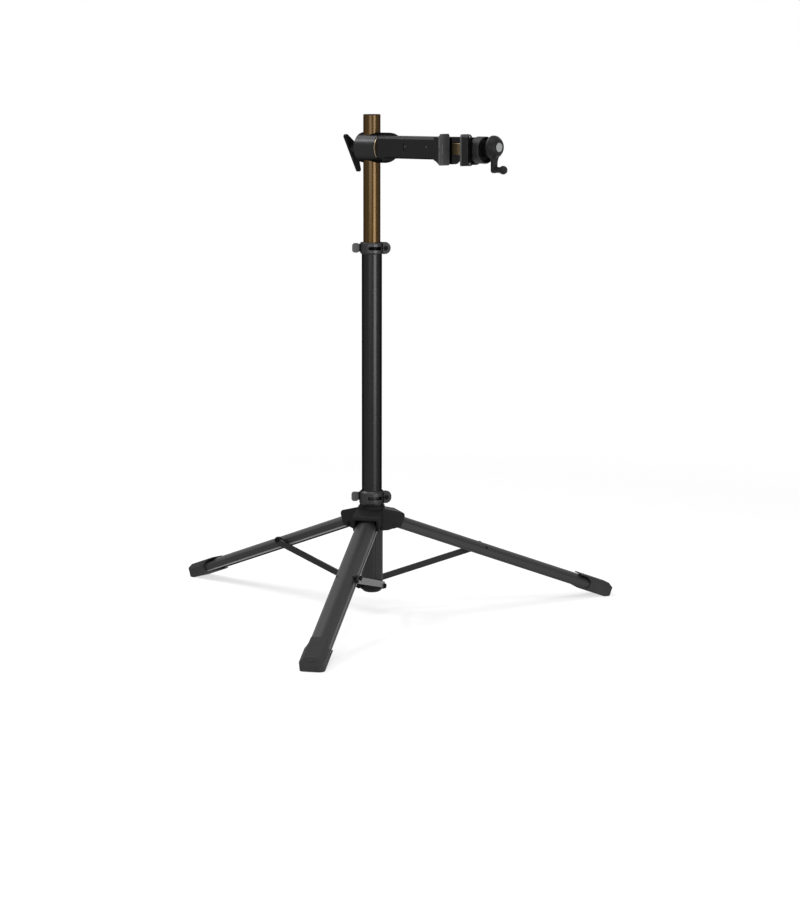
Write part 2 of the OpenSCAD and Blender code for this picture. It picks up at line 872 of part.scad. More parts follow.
// A cap over the leg's end, flat on the floor, with a tongue above and below the leg
module foot(i) {
    corner_r = 12;
    tongue_t = 2.5;
    plan_l = foot_l + 2 * corner_r;
    slot_r = foot_h / 2 - tongue_t;
    slot_l = foot_l - foot_side_l - slot_r + over;
    color("#343536") leg_plane(i) difference() {
        translate([pivot_r, 0, hub_pivot_z]) rotate([0, leg_slope, 0])
            translate([leg_end, 0, leg_pivot_drop]) difference() {
                intersection() {
                    along_x(-foot_l, 0) foot_section();
                    along_y(-foot_w, foot_w) foot_outline();
                    translate([-plan_l / 2, 0, -foot_h])
                        linear_extrude(2 * foot_h) rounded(plan_l, foot_w, corner_r);
                }
                along_x(-foot_l - over, -foot_wall) leg_section(seat_gap);
                along_y(-foot_w, foot_w) {
                    translate([-foot_side_l - slot_r, 0]) circle(slot_r);
                    translate([-foot_l - over, -slot_r]) square([slot_l, 2 * slot_r]);
                }
            }
        translate([0, -foot_w, -foot_h]) cube([2 * leg_end, 2 * foot_w, foot_h]);
    }
}

// A bolt across the leg, with a shoulder beside it and its head outside the strut
module strut_pin(i) {
    color("#1c1c1d") leg_axes(i) translate([joint_x, 0, joint_z]) {
        rod_y(-leg_w / 2, strut_out + move_gap, strut_pin_d / 2);
        rod_y(leg_w / 2 + seat_gap, strut_in - move_gap, bolt_head_d / 2);
        rod_y(strut_out + move_gap, strut_out + move_gap + bolt_head_h, bolt_head_d / 2);
    }
}

// A flat bar set a little off its two pivots, with a round eye at each
module strut(i) {
    skew = strut_foot_rise + strut_joint_drop;
    bar_l = norm([strut_l, skew]);
    color("#4d4e50") strut_axes(i) difference() {
        along_y(strut_in, strut_out) {
            circle(strut_eye_r);
            translate([strut_l, 0]) circle(strut_eye_r);
            translate([0, strut_foot_rise]) rotate(-atan2(skew, strut_l)) {
                translate([0, -strut_h / 2]) square([bar_l, strut_h]);
                circle(strut_h / 2);
                translate([bar_l, 0]) circle(strut_h / 2);
            }
        }
        for (x = [0, strut_l]) translate([x, 0, 0])
            rod_y(strut_in - over, strut_out + over, strut_pin_d / 2 + pin_play);
    }
}

// Mast and head

module mast_guide() {
    foot_t = 4;
    foot_lip = 5;
    out_r = column_in_r - slide_play;
    seat_z = mast_bottom - move_gap;
    color("#161616") {
        tube(seat_z, mast_bottom + guide_l, out_r, mast_r + pin_play);
        tube(seat_z - foot_t, seat_z, out_r, mast_r - foot_lip);
    }
}

module mast_tube() {
    color("#7a5f38") difference() {
        tube(mast_bottom, mast_top_z, mast_r, mast_r - mast_wall);
        translate([0, 0, head_z]) rod_x(-mast_od, mast_od, spindle_r + move_gap);
    }
}

module mast_cap() {
    plug_l = 14;
    edge = 1;
    color("#2a2118") rotate_extrude() {
        translate([0, mast_top_z - plug_l]) square([mast_r - mast_wall - seat_gap, plug_l]);
        polygon([
            [0, mast_top_z],
            [mast_r, mast_top_z],
            [mast_r, mast_top_z + mast_cap_h - edge],
            [mast_r - edge, mast_top_z + mast_cap_h],
            [0, mast_top_z + mast_cap_h]
        ]);
    }
}

// A round housing across the mast, clamped on it, bored for the spindle
module head_housing() {
    color("#2e2f30") difference() {
        translate([0, 0, head_z]) turned_x() polygon([
            [0, -head_back],
            [head_r - head_chamfer, -head_back],
            [head_r, head_chamfer - head_back],
            [head_r, head_front],
            [0, head_front]
        ]);
        translate([0, 0, head_z - head_d]) cylinder(h = 2 * head_d, r = mast_r + seat_gap);
        translate([0, 0, head_z]) rod_x(-head_d, head_d, spindle_r + pin_play);
    }
}

// Runs from the arm's root through the head, and ends in a thinner stud for the wing lever
module arm_spindle() {
    color("#8a8b8d") translate([0, 0, head_z]) {
        rod_x(-head_back, arm_x + spindle_seat, spindle_r);
        rod_x(-stud_end, -head_back, stud_r);
    }
}

module friction_ring() {
    hole_edge = 6;
    hole_r = spindle_r + hole_edge;
    color("#b59a6a") translate([0, 0, head_z]) difference() {
        rod_x(arm_x - ring_t, arm_x, head_r + ring_out);
        rod_x(arm_x - ring_t - over, arm_x + over, hole_r);
    }
}

// The bevelled section of the arm
module arm_section(w, h, bevel) {
    polygon([
        [w / 2 - bevel, h / 2],
        [w / 2, h / 2 - bevel],
        [w / 2, bevel / 2 - h / 2],
        [w / 2 - bevel / 2, -h / 2],
        [bevel / 2 - w / 2, -h / 2],
        [-w / 2, bevel / 2 - h / 2],
        [-w / 2, h / 2 - bevel],
        [bevel - w / 2, h / 2]
    ]);
}

// The side outline of the arm's root: a long slope above and a short round below, down to the beam
module root_outline() {
    shoulder_r = arch_r(shoulder_l, head_r - arm_top);
    under_r = head_r - arm_low;
    difference() {
        translate([arm_x, -head_r]) square([root_l, head_d]);
        difference() {
            translate([shoulder_x, 0]) square([shoulder_l + over, head_r + over]);
            translate([shoulder_x, head_r - shoulder_r]) circle(shoulder_r);
        }
        difference() {
            translate([under_x, -head_r - over]) square([root_l, under_r + over]);
            translate([under_x, under_r - head_r]) circle(under_r);
        }
    }
}

// A round root with flat sides, then a bevelled beam, hollow for the rail, recessed on its front
module arm_body() {
    recess_x = [115, 183];
    recess_z = [-4, 12];
    recess_d = 1;
    color("#262728") translate([0, 0, head_z]) difference() {
        union() {
            intersection() {
                rod_x(arm_x, arm_x + root_l, head_r);
                along_y(-arm_w / 2, arm_w / 2) root_outline();
            }
            translate([0, 0, arm_rise])
                along_x(arm_x + root_l / 2, arm_end) arm_section(arm_w, arm_h, arm_bevel);
        }
        rod_x(arm_x - over, arm_x + spindle_seat, spindle_r);
        translate([cavity_start, 0, 0]) rail_space(arm_end - cavity_start + over);
        translate([recess_x[0], -arm_w / 2 - over, recess_z[0]])
            cube([recess_x[1] - recess_x[0], over + recess_d, recess_z[1] - recess_z[0]]);
    }
}

// The room that the rail and the screw need inside the arm and the fixed jaw
module rail_space(l) {
    w = rail_w + 2 * rail_gap;
    translate([0, -w / 2, rail_low - rail_gap]) cube([l, w, rail_h + 2 * rail_gap]);
}

// Clamp

// The middle of a jaw, round the rail, from its back to its face, with a round lower far edge
module jaw_block(x0, x1) {
    w = pad_y + jaw_far_y;
    h = jaw_low + arm_top;
    along_x(x0, x1) difference() {
        translate([-pad_y, -jaw_low]) square([w, h]);
        translate([jaw_far_y, -jaw_low]) mirror([0, 1]) corner_waste(jaw_round);
    }
}

// The near part of the fixed jaw: it widens from the arm to the pad and flares downwards
module fixed_arm() {
    flare_r = arch_r(flare_l, flare_drop);
    low = arm_low + flare_drop;
    ramp = 8;
    flare_x = fixed_face - flare_l;
    intersection() {
        along_y(-plate_near_y, -pad_y) difference() {
            translate([arm_end, -low]) square([fixed_face - arm_end, low + arm_top]);
            translate([flare_x, -arm_low - flare_r]) circle(flare_r);
            translate([arm_end - over, -low - over]) square([flare_x - arm_end + over, flare_drop + over]);
        }
        translate([0, 0, -pad_h]) linear_extrude(2 * pad_h) polygon([
            [arm_end, -pad_y],
            [arm_end, -arm_w / 2],
            [arm_end + ramp, -plate_near_y],
            [fixed_face, -plate_near_y],
            [fixed_face, -pad_y]
        ]);
    }
}

module fixed_jaw() {
    color("#262728") translate([0, 0, head_z]) difference() {
        union() {
            jaw_block(arm_end, guide_face);
            fixed_arm();
        }
        translate([arm_end - over, 0, 0]) rail_space(guide_face - arm_end + 2 * over);
        translate([nut_x, -nut_half_w, 0]) cube([nut_l, 2 * nut_half_w, nut_top]);
    }
}

// A rubber pad with bevelled corners and edges; its gripping face looks along the given direction of X
module pad(face_x, way) {
    back_x = face_x - way * pad_t;
    edge_share = 1.5;
    edge = pad_bevel * edge_share;
    intersection() {
        translate([0, -pad_y - pad_w / 2, 0])
            along_x(min(face_x, back_x), max(face_x, back_x)) arm_section(pad_w, pad_h, pad_corner);
        translate([0, 0, -pad_h]) linear_extrude(2 * pad_h) polygon([
            [back_x, -pad_near_y],
            [face_x - way * pad_bevel, -pad_near_y],
            [face_x, edge - pad_near_y],
            [face_x, -pad_y - edge],
            [face_x - way * pad_bevel, -pad_y],
            [back_x, -pad_y]
        ]);
    }
}

module fixed_pad() {
    color("#4c4d4e") translate([0, 0, head_z]) pad(grip_x, 1);
}

// The nut stands in the fixed jaw and reaches down into the open rail
module screw_nut() {
    color("#a08a4a") translate([0, 0, head_z]) difference() {
        translate([nut_x, -nut_half_w, nut_bottom]) cube([nut_l, 2 * nut_half_w, nut_top - nut_bottom]);
        translate([0, 0, screw_rise]) rod_x(nut_x - over, nut_x + nut_l + over, screw_r + pin_play);
    }
}

// A channel that is open at the top, where the screw lies in it
module slide_rail() {
    color("#8c7040") translate([0, 0, head_z]) difference() {
        translate([rail_start, -rail_w / 2, rail_low]) cube([jaw_x - rail_start, rail_w, rail_h]);
        translate([rail_start - over, rail_wall - rail_w / 2, rail_low + rail_floor])
            cube([jaw_x - rail_start + 2 * over, rail_w - 2 * rail_wall, rail_h]);
    }
}

module moving_jaw() {
    plate_edge = 0.8;
    plate_h = pad_h - 2 * plate_edge;
    plate_corner = 5;
    web_h = 40;
    color("#262728") translate([0, 0, head_z]) difference() {
        union() {
            difference() {
                jaw_block(moving_x, drum_x);
                translate([moving_x - over, -rail_w / 2, rail_low]) cube([pad_t + over, rail_w, rail_h]);
            }
            translate([0, plate_w / 2 - plate_near_y, 0])
                along_x(jaw_x, drum_x) arm_section(plate_w, plate_h, plate_corner);
            translate([jaw_x, plate_w - plate_near_y - over, -web_h / 2])
                cube([jaw_t, plate_near_y - plate_w - pad_y + 2 * over, web_h]);
        }
        translate([0, 0, screw_rise]) rod_x(moving_x - over, drum_x + over, screw_r + move_gap);
    }
}

module moving_pad() {
    color("#4c4d4e") translate([0, 0, head_z]) pad(moving_x, -1);
}

// Two screws that hold the moving jaw's pad from behind
module jaw_screws() {
    screw_head_r = 3;
    screw_head_t = 1.5;
    screw_y = 6;
    screw_z_in = 5;
    color("#77787a") for (s = [-1, 1])
        translate([0, screw_y - plate_near_y, head_z + s * (pad_h / 2 - screw_z_in)])
            rod_x(drum_x, drum_x + screw_head_t, screw_head_r);
}

// A round housing with a deep recess in its end, round the screw's bearing
module drum_housing() {
    edge = 1;
    back_l = 7;
    back_in = 3;
    drum_r = drum_d / 2;
    color("#2b2c2d") translate([0, 0, head_z]) difference() {
        turned_x() polygon([
            [0, drum_x],
            [drum_r - back_in, drum_x],
            [drum_r, drum_x + back_l],
            [drum_r, drum_end - edge],
            [drum_r - edge, drum_end],
            [drum_r - drum_rim, drum_end],
            [drum_r - drum_rim, drum_end - drum_recess],
            [0, drum_end - drum_recess]
        ]);
        translate([0, 0, screw_rise]) rod_x(drum_x - over, drum_end + over, screw_r + pin_play);
    }
}

module thrust_washer() {
    washer_x = drum_end - drum_recess;
    washer_wall = 4.5;
    washer_r = screw_r + washer_wall;
    color("#8a8b8d") translate([0, 0, screw_z]) difference() {
        rod_x(washer_x, washer_x + washer_t, washer_r);
        rod_x(washer_x - over, drum_end, screw_r + pin_play);
    }
}

// Crank

module lead_screw() {
    start_in = 2;
    color("#77787a") translate([0, 0, screw_z]) rod_x(rail_start + start_in, crank_x + crank_t, screw_r);
}

// A domed root on the screw, an arm that narrows downwards, and a boss for the knob's pin
module crank_arm() {
    edge = 1.5;
    link_in = 10;
    boss_x = drum_end - drum_recess + washer_t + move_gap;
    dome_x = crank_x + crank_dome;
    color("#232425") translate([0, 0, screw_z]) difference() {
        union() {
            turned_x() polygon([
                [0, boss_x],
                [crank_boss_r, boss_x],
                [crank_boss_r, crank_x],
                [crank_root_r - edge, crank_x],
                [crank_root_r, crank_x + edge],
                [crank_root_r, crank_x + crank_t / 2],
                [cap_seat_r + edge, dome_x],
                [0, dome_x]
            ]);
            along_x(crank_x, crank_x + crank_t) rotate(-90)
                tangent_link(crank_root_r - link_in, crank_tip_r, crank_throw);
        }
        rod_x(boss_x - over, crank_x + crank_t, screw_r);
        rod_x(dome_x - cap_t, dome_x + over, cap_seat_r);
        translate([0, 0, -crank_throw])
            rod_x(crank_x + crank_t - knob_pin_in, crank_x + crank_t + over, knob_pin_d / 2);
    }
}

module crank_cap() {
    cap_r = cap_seat_r - seat_gap;
    edge = 0.8;
    dome_x = crank_x + crank_dome;
    color("#9b9c9e") translate([0, 0, screw_z]) turned_x() polygon([
        [0, dome_x - cap_t],
        [cap_r, dome_x - cap_t],
        [cap_r, dome_x],
        [cap_r - edge, dome_x + edge],
        [0, dome_x + edge]
    ]);
}

module knob_pin() {
    color("#77787a") translate([0, 0, screw_z - crank_throw])
        rod_x(crank_x + crank_t - knob_pin_in, knob_x + knob_l - knob_end_wall, knob_pin_d / 2);
}

// A knob with a slim neck and a round end, loose on its pin
module crank_knob() {
    knob_r = knob_d / 2;
    end_cut = 3;
    ball_x = knob_x + knob_l + end_cut - knob_r;
    color("#232425") translate([0, 0, screw_z - crank_throw]) difference() {
        union() {
            rod_x(knob_x, ball_x, knob_neck_d / 2);
            intersection() {
                translate([ball_x, 0, 0]) rotate([0, 90, 0]) sphere(knob_r);
                rod_x(knob_x, knob_x + knob_l, knob_d);
            }
        }
        rod_x(knob_x - over, knob_x + knob_l - knob_end_wall + move_gap, knob_pin_d / 2 + pin_play);
    }
}

// Wing lever at the head's back

// One wing, upwards from the lever's middle; its near edge is straight
module wing(l) {
    tip_y = wing_hub_r - wing_tip_r;
    rotate(atan2(l, -tip_y)) tangent_link(wing_hub_r, wing_tip_r, norm([tip_y, l]));
}

module wing_lever() {
    boss_flare = 4;
    boss_in = 1;
    boss_x = -head_back - move_gap;
    wing_x = boss_x - wing_boss_l;
    color("#101011") translate([0, 0, head_z]) difference() {
        union() {
            turned_x() polygon([
                [0, wing_x],
                [wing_hub_r - boss_in, wing_x],
                [wing_hub_r + boss_flare, boss_x],
                [0, boss_x]
            ]);
            along_x(wing_x - wing_t / 2, wing_x + wing_t / 2) rotate(wing_turn) {
                wing(wing_short);
                mirror([0, 1]) wing(wing_long);
            }
        }
        rod_x(-stud_end - insert_over, boss_x + over, insert_r);
    }
}

// A metal bush pressed into the wing lever, which runs on the spindle's stud
module wing_insert() {
    color("#8a8b8d") translate([0, 0, head_z]) difference() {
        rod_x(-stud_end - insert_over, -head_back - move_gap, insert_r);
        rod_x(-stud_end - 2 * over, -head_back, stud_r + pin_play);
    }
}

column_tube();
stop_sleeve();
base_plug();
strut_foot_pins();
column_collar();
slide_bush();
column_pinch_bolt();
column_cam_pin();
column_qr_lever();
hub_body();
hub_bush();
hub_collar();
leg_pivot_pins();
hub_pinch_bolt();
hub_cam_pin();
hub_qr_lever();
strut(0);  // strut_right
strut(1);  // strut_rear
strut(2);  // strut_front
leg(0);  // leg_right
leg(1);  // leg_rear
leg(2);  // leg_front
foot(0);  // foot_right
foot(1);  // foot_rear
foot(2);  // foot_front
strut_pin(0);  // strut_pin_right
strut_pin(1);  // strut_pin_rear
strut_pin(2);  // strut_pin_front
mast_guide();
mast_tube();
mast_cap();
head_housing();
arm_spindle();
friction_ring();
arm_body();
fixed_jaw();
fixed_pad();
screw_nut();
wing_lever();
wing_insert();
slide_rail();
moving_jaw();
moving_pad();
jaw_screws();
drum_housing();
thrust_washer();
lead_screw();
crank_arm();
crank_cap();
knob_pin();
crank_knob();
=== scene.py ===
"""Looks of a folding bicycle repair stand: its finishes, rounded edges and small fittings."""

import json
import math

import bmesh
import bpy
from mathutils import Matrix, Vector


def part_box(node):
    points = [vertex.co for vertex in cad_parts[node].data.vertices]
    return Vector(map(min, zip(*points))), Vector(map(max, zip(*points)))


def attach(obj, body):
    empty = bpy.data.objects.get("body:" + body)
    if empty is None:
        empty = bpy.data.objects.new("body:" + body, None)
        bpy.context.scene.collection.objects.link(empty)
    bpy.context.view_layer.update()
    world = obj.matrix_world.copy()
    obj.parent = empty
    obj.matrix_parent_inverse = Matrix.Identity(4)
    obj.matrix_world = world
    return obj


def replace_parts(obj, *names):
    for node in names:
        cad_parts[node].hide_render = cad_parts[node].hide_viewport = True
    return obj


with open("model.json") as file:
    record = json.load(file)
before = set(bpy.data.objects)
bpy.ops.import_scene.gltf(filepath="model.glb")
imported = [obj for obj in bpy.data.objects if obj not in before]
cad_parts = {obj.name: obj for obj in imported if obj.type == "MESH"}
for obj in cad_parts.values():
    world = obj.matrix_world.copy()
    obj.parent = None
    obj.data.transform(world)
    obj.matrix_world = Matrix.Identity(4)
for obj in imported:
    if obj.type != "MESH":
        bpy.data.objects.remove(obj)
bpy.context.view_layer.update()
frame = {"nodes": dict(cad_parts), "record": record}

MM = 0.001

BODIES = frame["record"]["behaviour"]["bodies"]
BODY_OF = {node: body for body, nodes in BODIES.items() for node in nodes}
SLOT_OF = {row["node"]: row["material_slot"] for row in frame["record"]["subparts"]}

# Arm: its beam and round root, measured from the arm's axis
ARM_AXIS_HEIGHT = 1038 * MM
ARM_HALF_WIDTH = 26 * MM
ARM_TOP = 26.2 * MM
ARM_LOW = 21.8 * MM
ARM_BEVEL = 6 * MM
ROOT_RADIUS = 33 * MM
ROOT_LENGTH = 24 * MM
ROOT_EDGE = 1 * MM
SHOULDER_LENGTH = 10 * MM
UNDER_START = 2.5 * MM
RECESS_X = (115 * MM, 183 * MM)
RECESS_Z = (-4 * MM, 12 * MM)
RECESS_DEPTH = 1 * MM
RECESS_SCREWS_X = (119 * MM, 180 * MM)
RECESS_SCREWS_Z = 4 * MM
RAIL_ROOM = {"side": 9.35 * MM, "top": 13.5 * MM, "low": 11.5 * MM, "depth": 55 * MM}
RING_SUNK = 1.3 * MM
RING_DEPTH = 8 * MM

# Clamp: drum, jaw, crank and lead screw
DRUM_RADIUS = 28.5 * MM
DRUM_LENGTH = 28 * MM
DRUM_OVERLAP = 13 * MM
DRUM_BORE = 6 * MM
PLATE_INNER_FACE = -27.7 * MM
CRANK_AXIS_HEIGHT = 1044.5 * MM
CRANK_START = 342.1 * MM
CRANK_THICKNESS = 9 * MM
CRANK_THROW = 47 * MM
CRANK_TIP_RADIUS = 7 * MM
CRANK_NECK_RADIUS = 10.5 * MM
THREAD_RADIUS = 4.5 * MM
THREAD_DEPTH = 1.1 * MM
THREAD_LEAD = 10 * MM
THREAD_STARTS = 4
PLAIN_END = 58 * MM

# Column, legs and struts
BOWL_RADIUS = 24.7 * MM
COLUMN_CLAMP_FLOOR = 805.5 * MM
LEG_AZIMUTHS = {"right": 60, "rear": 180, "front": 300}
LEG_HALF_WIDTH = 23.75 * MM
# Share of a leg's wall height, from below, that wears the painted highlight
LIP_HIGHLIGHT_SHARE = 0.3
STRUT_INNER_FACE = 26.65 * MM
STRUT_OUTER_FACE = 31.95 * MM
BOLT_RADIUS = 3 * MM
BOLT_END = 35.95 * MM
PLUG_PIVOT_RADIUS = 12 * MM
PLUG_PIVOT_HEIGHT = 60.5 * MM

# Camera
CAMERA_AZIMUTH = 42.35
CAMERA_DISTANCE = 5.15313
CAMERA_HEIGHT = 1.17305
CAMERA_DIP = 8.893
CAMERA_LENS = 93.28
SENSOR = 36
PHOTO_SIZE = (800, 900)
COLUMN_PIXEL = 371.85

# Floor and light
FLOOR_RADIUS = 2.6
FLOOR_FADE_START = 1.1
FLOOR_COLOUR = (0.42, 0.42, 0.42)
FLOOR_GLOW = 0.66
WHITE = (1.0, 1.0, 1.0)
WORLD_FILL = 0.36

# Each lamp's degrees to the right of the camera, height, distance, size, power, and the height it aims at
LAMPS = {
    "strip_right": (36, 0.62, 3.4, (1.6, 1.2), 62, 0.6),
    "strip_left": (-19, 1.05, 3.8, (2.3, 0.7), 30, 0.6),
    "back_left": (-130, 2.86, 1.35, (0.7, 0.7), 18, 1.05),
    "high_left": (-102, 2.8, 2.2, (1.4, 0.5), 30, 1.0),
    "overhead": (10, 3.6, 1.2, (2.0, 2.0), 40, 0.8),
}


# Shader expressions

class Value:
    """A shader socket that takes part in Python expressions. Each operator adds one Math node."""

    def __init__(self, finish, socket):
        self.finish = finish
        self.socket = socket

    def math(self, operation, *values, clamp=False):
        settings = {"operation": operation, "use_clamp": clamp}
        return self.finish.node("ShaderNodeMath", settings, dict(enumerate(values)))

    def __add__(self, other):
        return self.math("ADD", self, other)

    def __radd__(self, other):
        return self.math("ADD", other, self)

    def __sub__(self, other):
        return self.math("SUBTRACT", self, other)

    def __rsub__(self, other):
        return self.math("SUBTRACT", other, self)

    def __mul__(self, other):
        return self.math("MULTIPLY", self, other)

    def __rmul__(self, other):
        return self.math("MULTIPLY", other, self)

    def clamped(self):
        return self.math("MULTIPLY", self, 1.0, clamp=True)

    def smooth(self, low, high):
        """Runs from 0 at low to 1 at high, with soft ends."""
        settings = {"interpolation_type": "SMOOTHSTEP"}
        inputs = {"Value": self, "From Min": low, "From Max": high}
        return self.finish.node("ShaderNodeMapRange", settings, inputs)


class Finish:
    """A material: its shader's fixed numbers and the nodes that vary over the surface."""

    def __init__(self, name, **fixed):
        self.start(bpy.data.materials.new(name), "Principled BSDF")
        self.set(**fixed)

    def start(self, block, shader):
        self.material = block
        self.material.use_nodes = True
        self.tree = block.node_tree
        self.shader = self.tree.nodes[shader]

    def set(self, **sockets):
        for name, value in sockets.items():
            self.put(self.shader.inputs[name.replace("_", " ").title().replace("Ior", "IOR")], value)
        return self

    def put(self, socket, value):
        if isinstance(value, Value):
            self.tree.links.new(value.socket, socket)
        elif isinstance(value, tuple) and len(value) == 3 and socket.type == "RGBA":
            socket.default_value = (*value, 1.0)
        else:
            socket.default_value = value

    def node(self, kind, settings=None, inputs=None, output=0):
        """Adds a node, with its settings first, then the values or links of its sockets."""
        node = self.tree.nodes.new(kind)
        for name, value in (settings or {}).items():
            setattr(node, name, value)
        for name, value in (inputs or {}).items():
            self.put(node.inputs[name], value)
        return Value(self, node.outputs[output])

    def place(self):
        """Position in metres in the part's own frame, which the piece keeps as it moves."""
        return self.node("ShaderNodeTexCoord", output="Object")

    def height(self):
        return self.node("ShaderNodeSeparateXYZ", None, {0: self.place()}, output="Z")

    def stretched(self, factors):
        inputs = {0: self.place(), 1: factors}
        return self.node("ShaderNodeVectorMath", {"operation": "MULTIPLY"}, inputs)

    def noise(self, scale, detail, place=None):
        inputs = {"Vector": place or self.place(), "Scale": scale, "Detail": detail}
        return self.node("ShaderNodeTexNoise", None, inputs)

    def cells(self, scale):
        return self.node("ShaderNodeTexVoronoi", None, {"Vector": self.place(), "Scale": scale})

    def rim(self):
        """1 on the rounded edges of a piece, 0 on its faces."""
        return self.node("ShaderNodeAttribute", {"attribute_name": "rim"}, output="Fac")

    def rubbed_rim(self, scale, detail, low, high):
        """1 where a rounded edge is rubbed, in patches."""
        return (self.rim() * self.noise(scale, detail).smooth(low, high)).clamped()

    def mixed(self, share, first, second):
        inputs = {"Factor": share, 6: first, 7: second}
        return self.node("ShaderNodeMix", {"data_type": "RGBA"}, inputs, output=2)

    def clouded(self, cloud, colour, spread, low=0.3, high=0.7):
        """The colour, a little darker and lighter in soft clouds."""
        return self.mixed(cloud.smooth(low, high), shade(colour, 1 - spread), shade(colour, 1 + spread))

    def bumped(self, height, distance, strength):
        inputs = {"Height": height, "Distance": distance, "Strength": strength}
        return self.set(normal=self.node("ShaderNodeBump", None, inputs))


def shade(colour, factor):
    return tuple(channel * factor for channel in colour)


# Finishes

def black_anodising(name, colour, roughness, edge, shaded_from=None):
    """Dyed anodising on aluminium: a fine blasted grain, faint clouding, and edges rubbed paler.

    From the given height upwards it is painted nearly black: painted shade for the part inside a clamp,
    which shows through the clamp's slot.
    """
    finish = Finish(name, metallic=1.0, specular_tint=(edge, edge, edge))
    cloud = finish.noise(7.0, 3.0)
    grit = finish.noise(1800.0, 2.0)
    rubbed = finish.rubbed_rim(240.0, 3.0, 0.3, 0.6)
    tone = finish.clouded(cloud, colour, 0.05)
    # Painted shade: nearly black from the clamp's floor upwards, where the column shows through the
    # clamp's slot
    if shaded_from:
        painted_shade = finish.height().smooth(shaded_from, shaded_from + 0.5 * MM)
        tone = finish.mixed(painted_shade, tone, shade(colour, 0.08))
    finish.set(
        base_color=finish.mixed(rubbed, tone, shade(colour, 1.7)),
        roughness=(roughness - 0.03 + 0.05 * cloud + 0.04 * grit).clamped(),
    )
    return finish.bumped(grit, 0.02 * MM, 0.05)


def satin_paint(name, colour, roughness, specular):
    """Satin paint on steel: a faint orange peel, slight clouding and thin paler edges."""
    finish = Finish(name, specular_ior_level=specular)
    cloud = finish.noise(9.0, 3.0)
    peel = finish.noise(420.0, 2.0)
    rubbed = finish.rubbed_rim(220.0, 3.0, 0.35, 0.62)
    tone = finish.clouded(cloud, colour, 0.06)
    finish.set(
        base_color=finish.mixed(rubbed, tone, shade(colour, 1.6)),
        roughness=(roughness - 0.03 + 0.06 * cloud + 0.02 * peel).clamped(),
    )
    return finish.bumped(peel, 0.02 * MM, 0.2)


def moulded_plastic(name, colour, roughness=0.5, specular=0.12, grain=0.4, wear=1.5):
    """Moulded plastic with a fine spark-eroded grain and polished edges."""
    finish = Finish(name, specular_ior_level=specular)
    pits = finish.cells(1300.0).smooth(0.1, 0.7)
    rubbed = finish.rubbed_rim(160.0, 3.0, 0.4, 0.65)
    tone = finish.clouded(finish.noise(14.0, 2.0), colour, 0.06, 0.35, 0.65)
    finish.set(
        base_color=finish.mixed(rubbed, tone, shade(colour, wear)),
        roughness=(roughness + 0.07 * pits - 0.1 * rubbed).clamped(),
    )
    return finish.bumped(pits, 0.03 * MM, grain)


def soft_rubber(name, colour):
    """Matt rubber: dusty clouding, a pebbled skin and lighter rubbed edges."""
    finish = Finish(name, specular_ior_level=0.15)
    pebbles = finish.cells(900.0).smooth(0.0, 0.8)
    dust = finish.noise(38.0, 4.0).smooth(0.42, 0.72)
    rubbed = finish.rubbed_rim(120.0, 2.0, 0.3, 0.6)
    tone = finish.mixed(dust, colour, shade(colour, 1.12))
    finish.set(
        base_color=finish.mixed(rubbed, tone, shade(colour, 1.7)),
        roughness=(0.66 + 0.1 * pebbles).clamped(),
    )
    return finish.bumped(pebbles, 0.05 * MM, 0.4)


def brushed_anodising(name, dark, light, along, roughness):
    """Coloured anodising on drawn metal: fine streaks along the draw under a clear skin."""
    finish = Finish(name, metallic=1.0, specular_tint=(0.3, 0.25, 0.2))
    finish.set(coat_weight=0.05, coat_ior=2.5, coat_roughness=0.16)
    squeeze = tuple(0.01 if axis == along else 1.0 for axis in "XYZ")
    streaks = finish.noise(700.0, 3.0, finish.stretched(squeeze))
    bands = finish.noise(160.0, 2.0, finish.stretched(squeeze))
    tone = finish.mixed((0.5 * streaks + 0.5 * bands).smooth(0.35, 0.65), dark, light)
    finish.set(
        base_color=finish.mixed(finish.rim().clamped(), tone, shade(light, 1.3)),
        roughness=(roughness - 0.03 + 0.06 * streaks).clamped(),
    )
    return finish.bumped(streaks, 0.01 * MM, 0.04)


def turned_metal(name, colour, roughness=0.28):
    """Bare turned metal with fine tool rings round the arm's axis."""
    finish = Finish(name, metallic=1.0)
    tool_marks = finish.noise(1200.0, 2.0, finish.stretched((1.0, 0.03, 0.03)))
    stain = finish.noise(60.0, 3.0)
    tone = finish.mixed(stain.smooth(0.4, 0.7), colour, shade(colour, 0.8))
    finish.set(base_color=tone, roughness=(roughness + 0.14 * tool_marks).clamped())
    return finish.bumped(tool_marks, 0.02 * MM, 0.4)


def blackened_steel(name, colour):
    """Oil-blackened steel, cloudy, and rubbed bright on its edges."""
    finish = Finish(name, metallic=1.0, specular_tint=(0.4, 0.4, 0.4))
    cloud = finish.noise(300.0, 3.0)
    rubbed = (finish.rim() * cloud.smooth(0.45, 0.7)).clamped()
    tone = finish.mixed(cloud.smooth(0.3, 0.7), colour, shade(colour, 1.4))
    finish.set(
        base_color=finish.mixed(rubbed, tone, shade(colour, 4.0)),
        roughness=(0.38 + 0.16 * cloud).clamped(),
    )
    return finish.bumped(cloud, 0.03 * MM, 0.3)


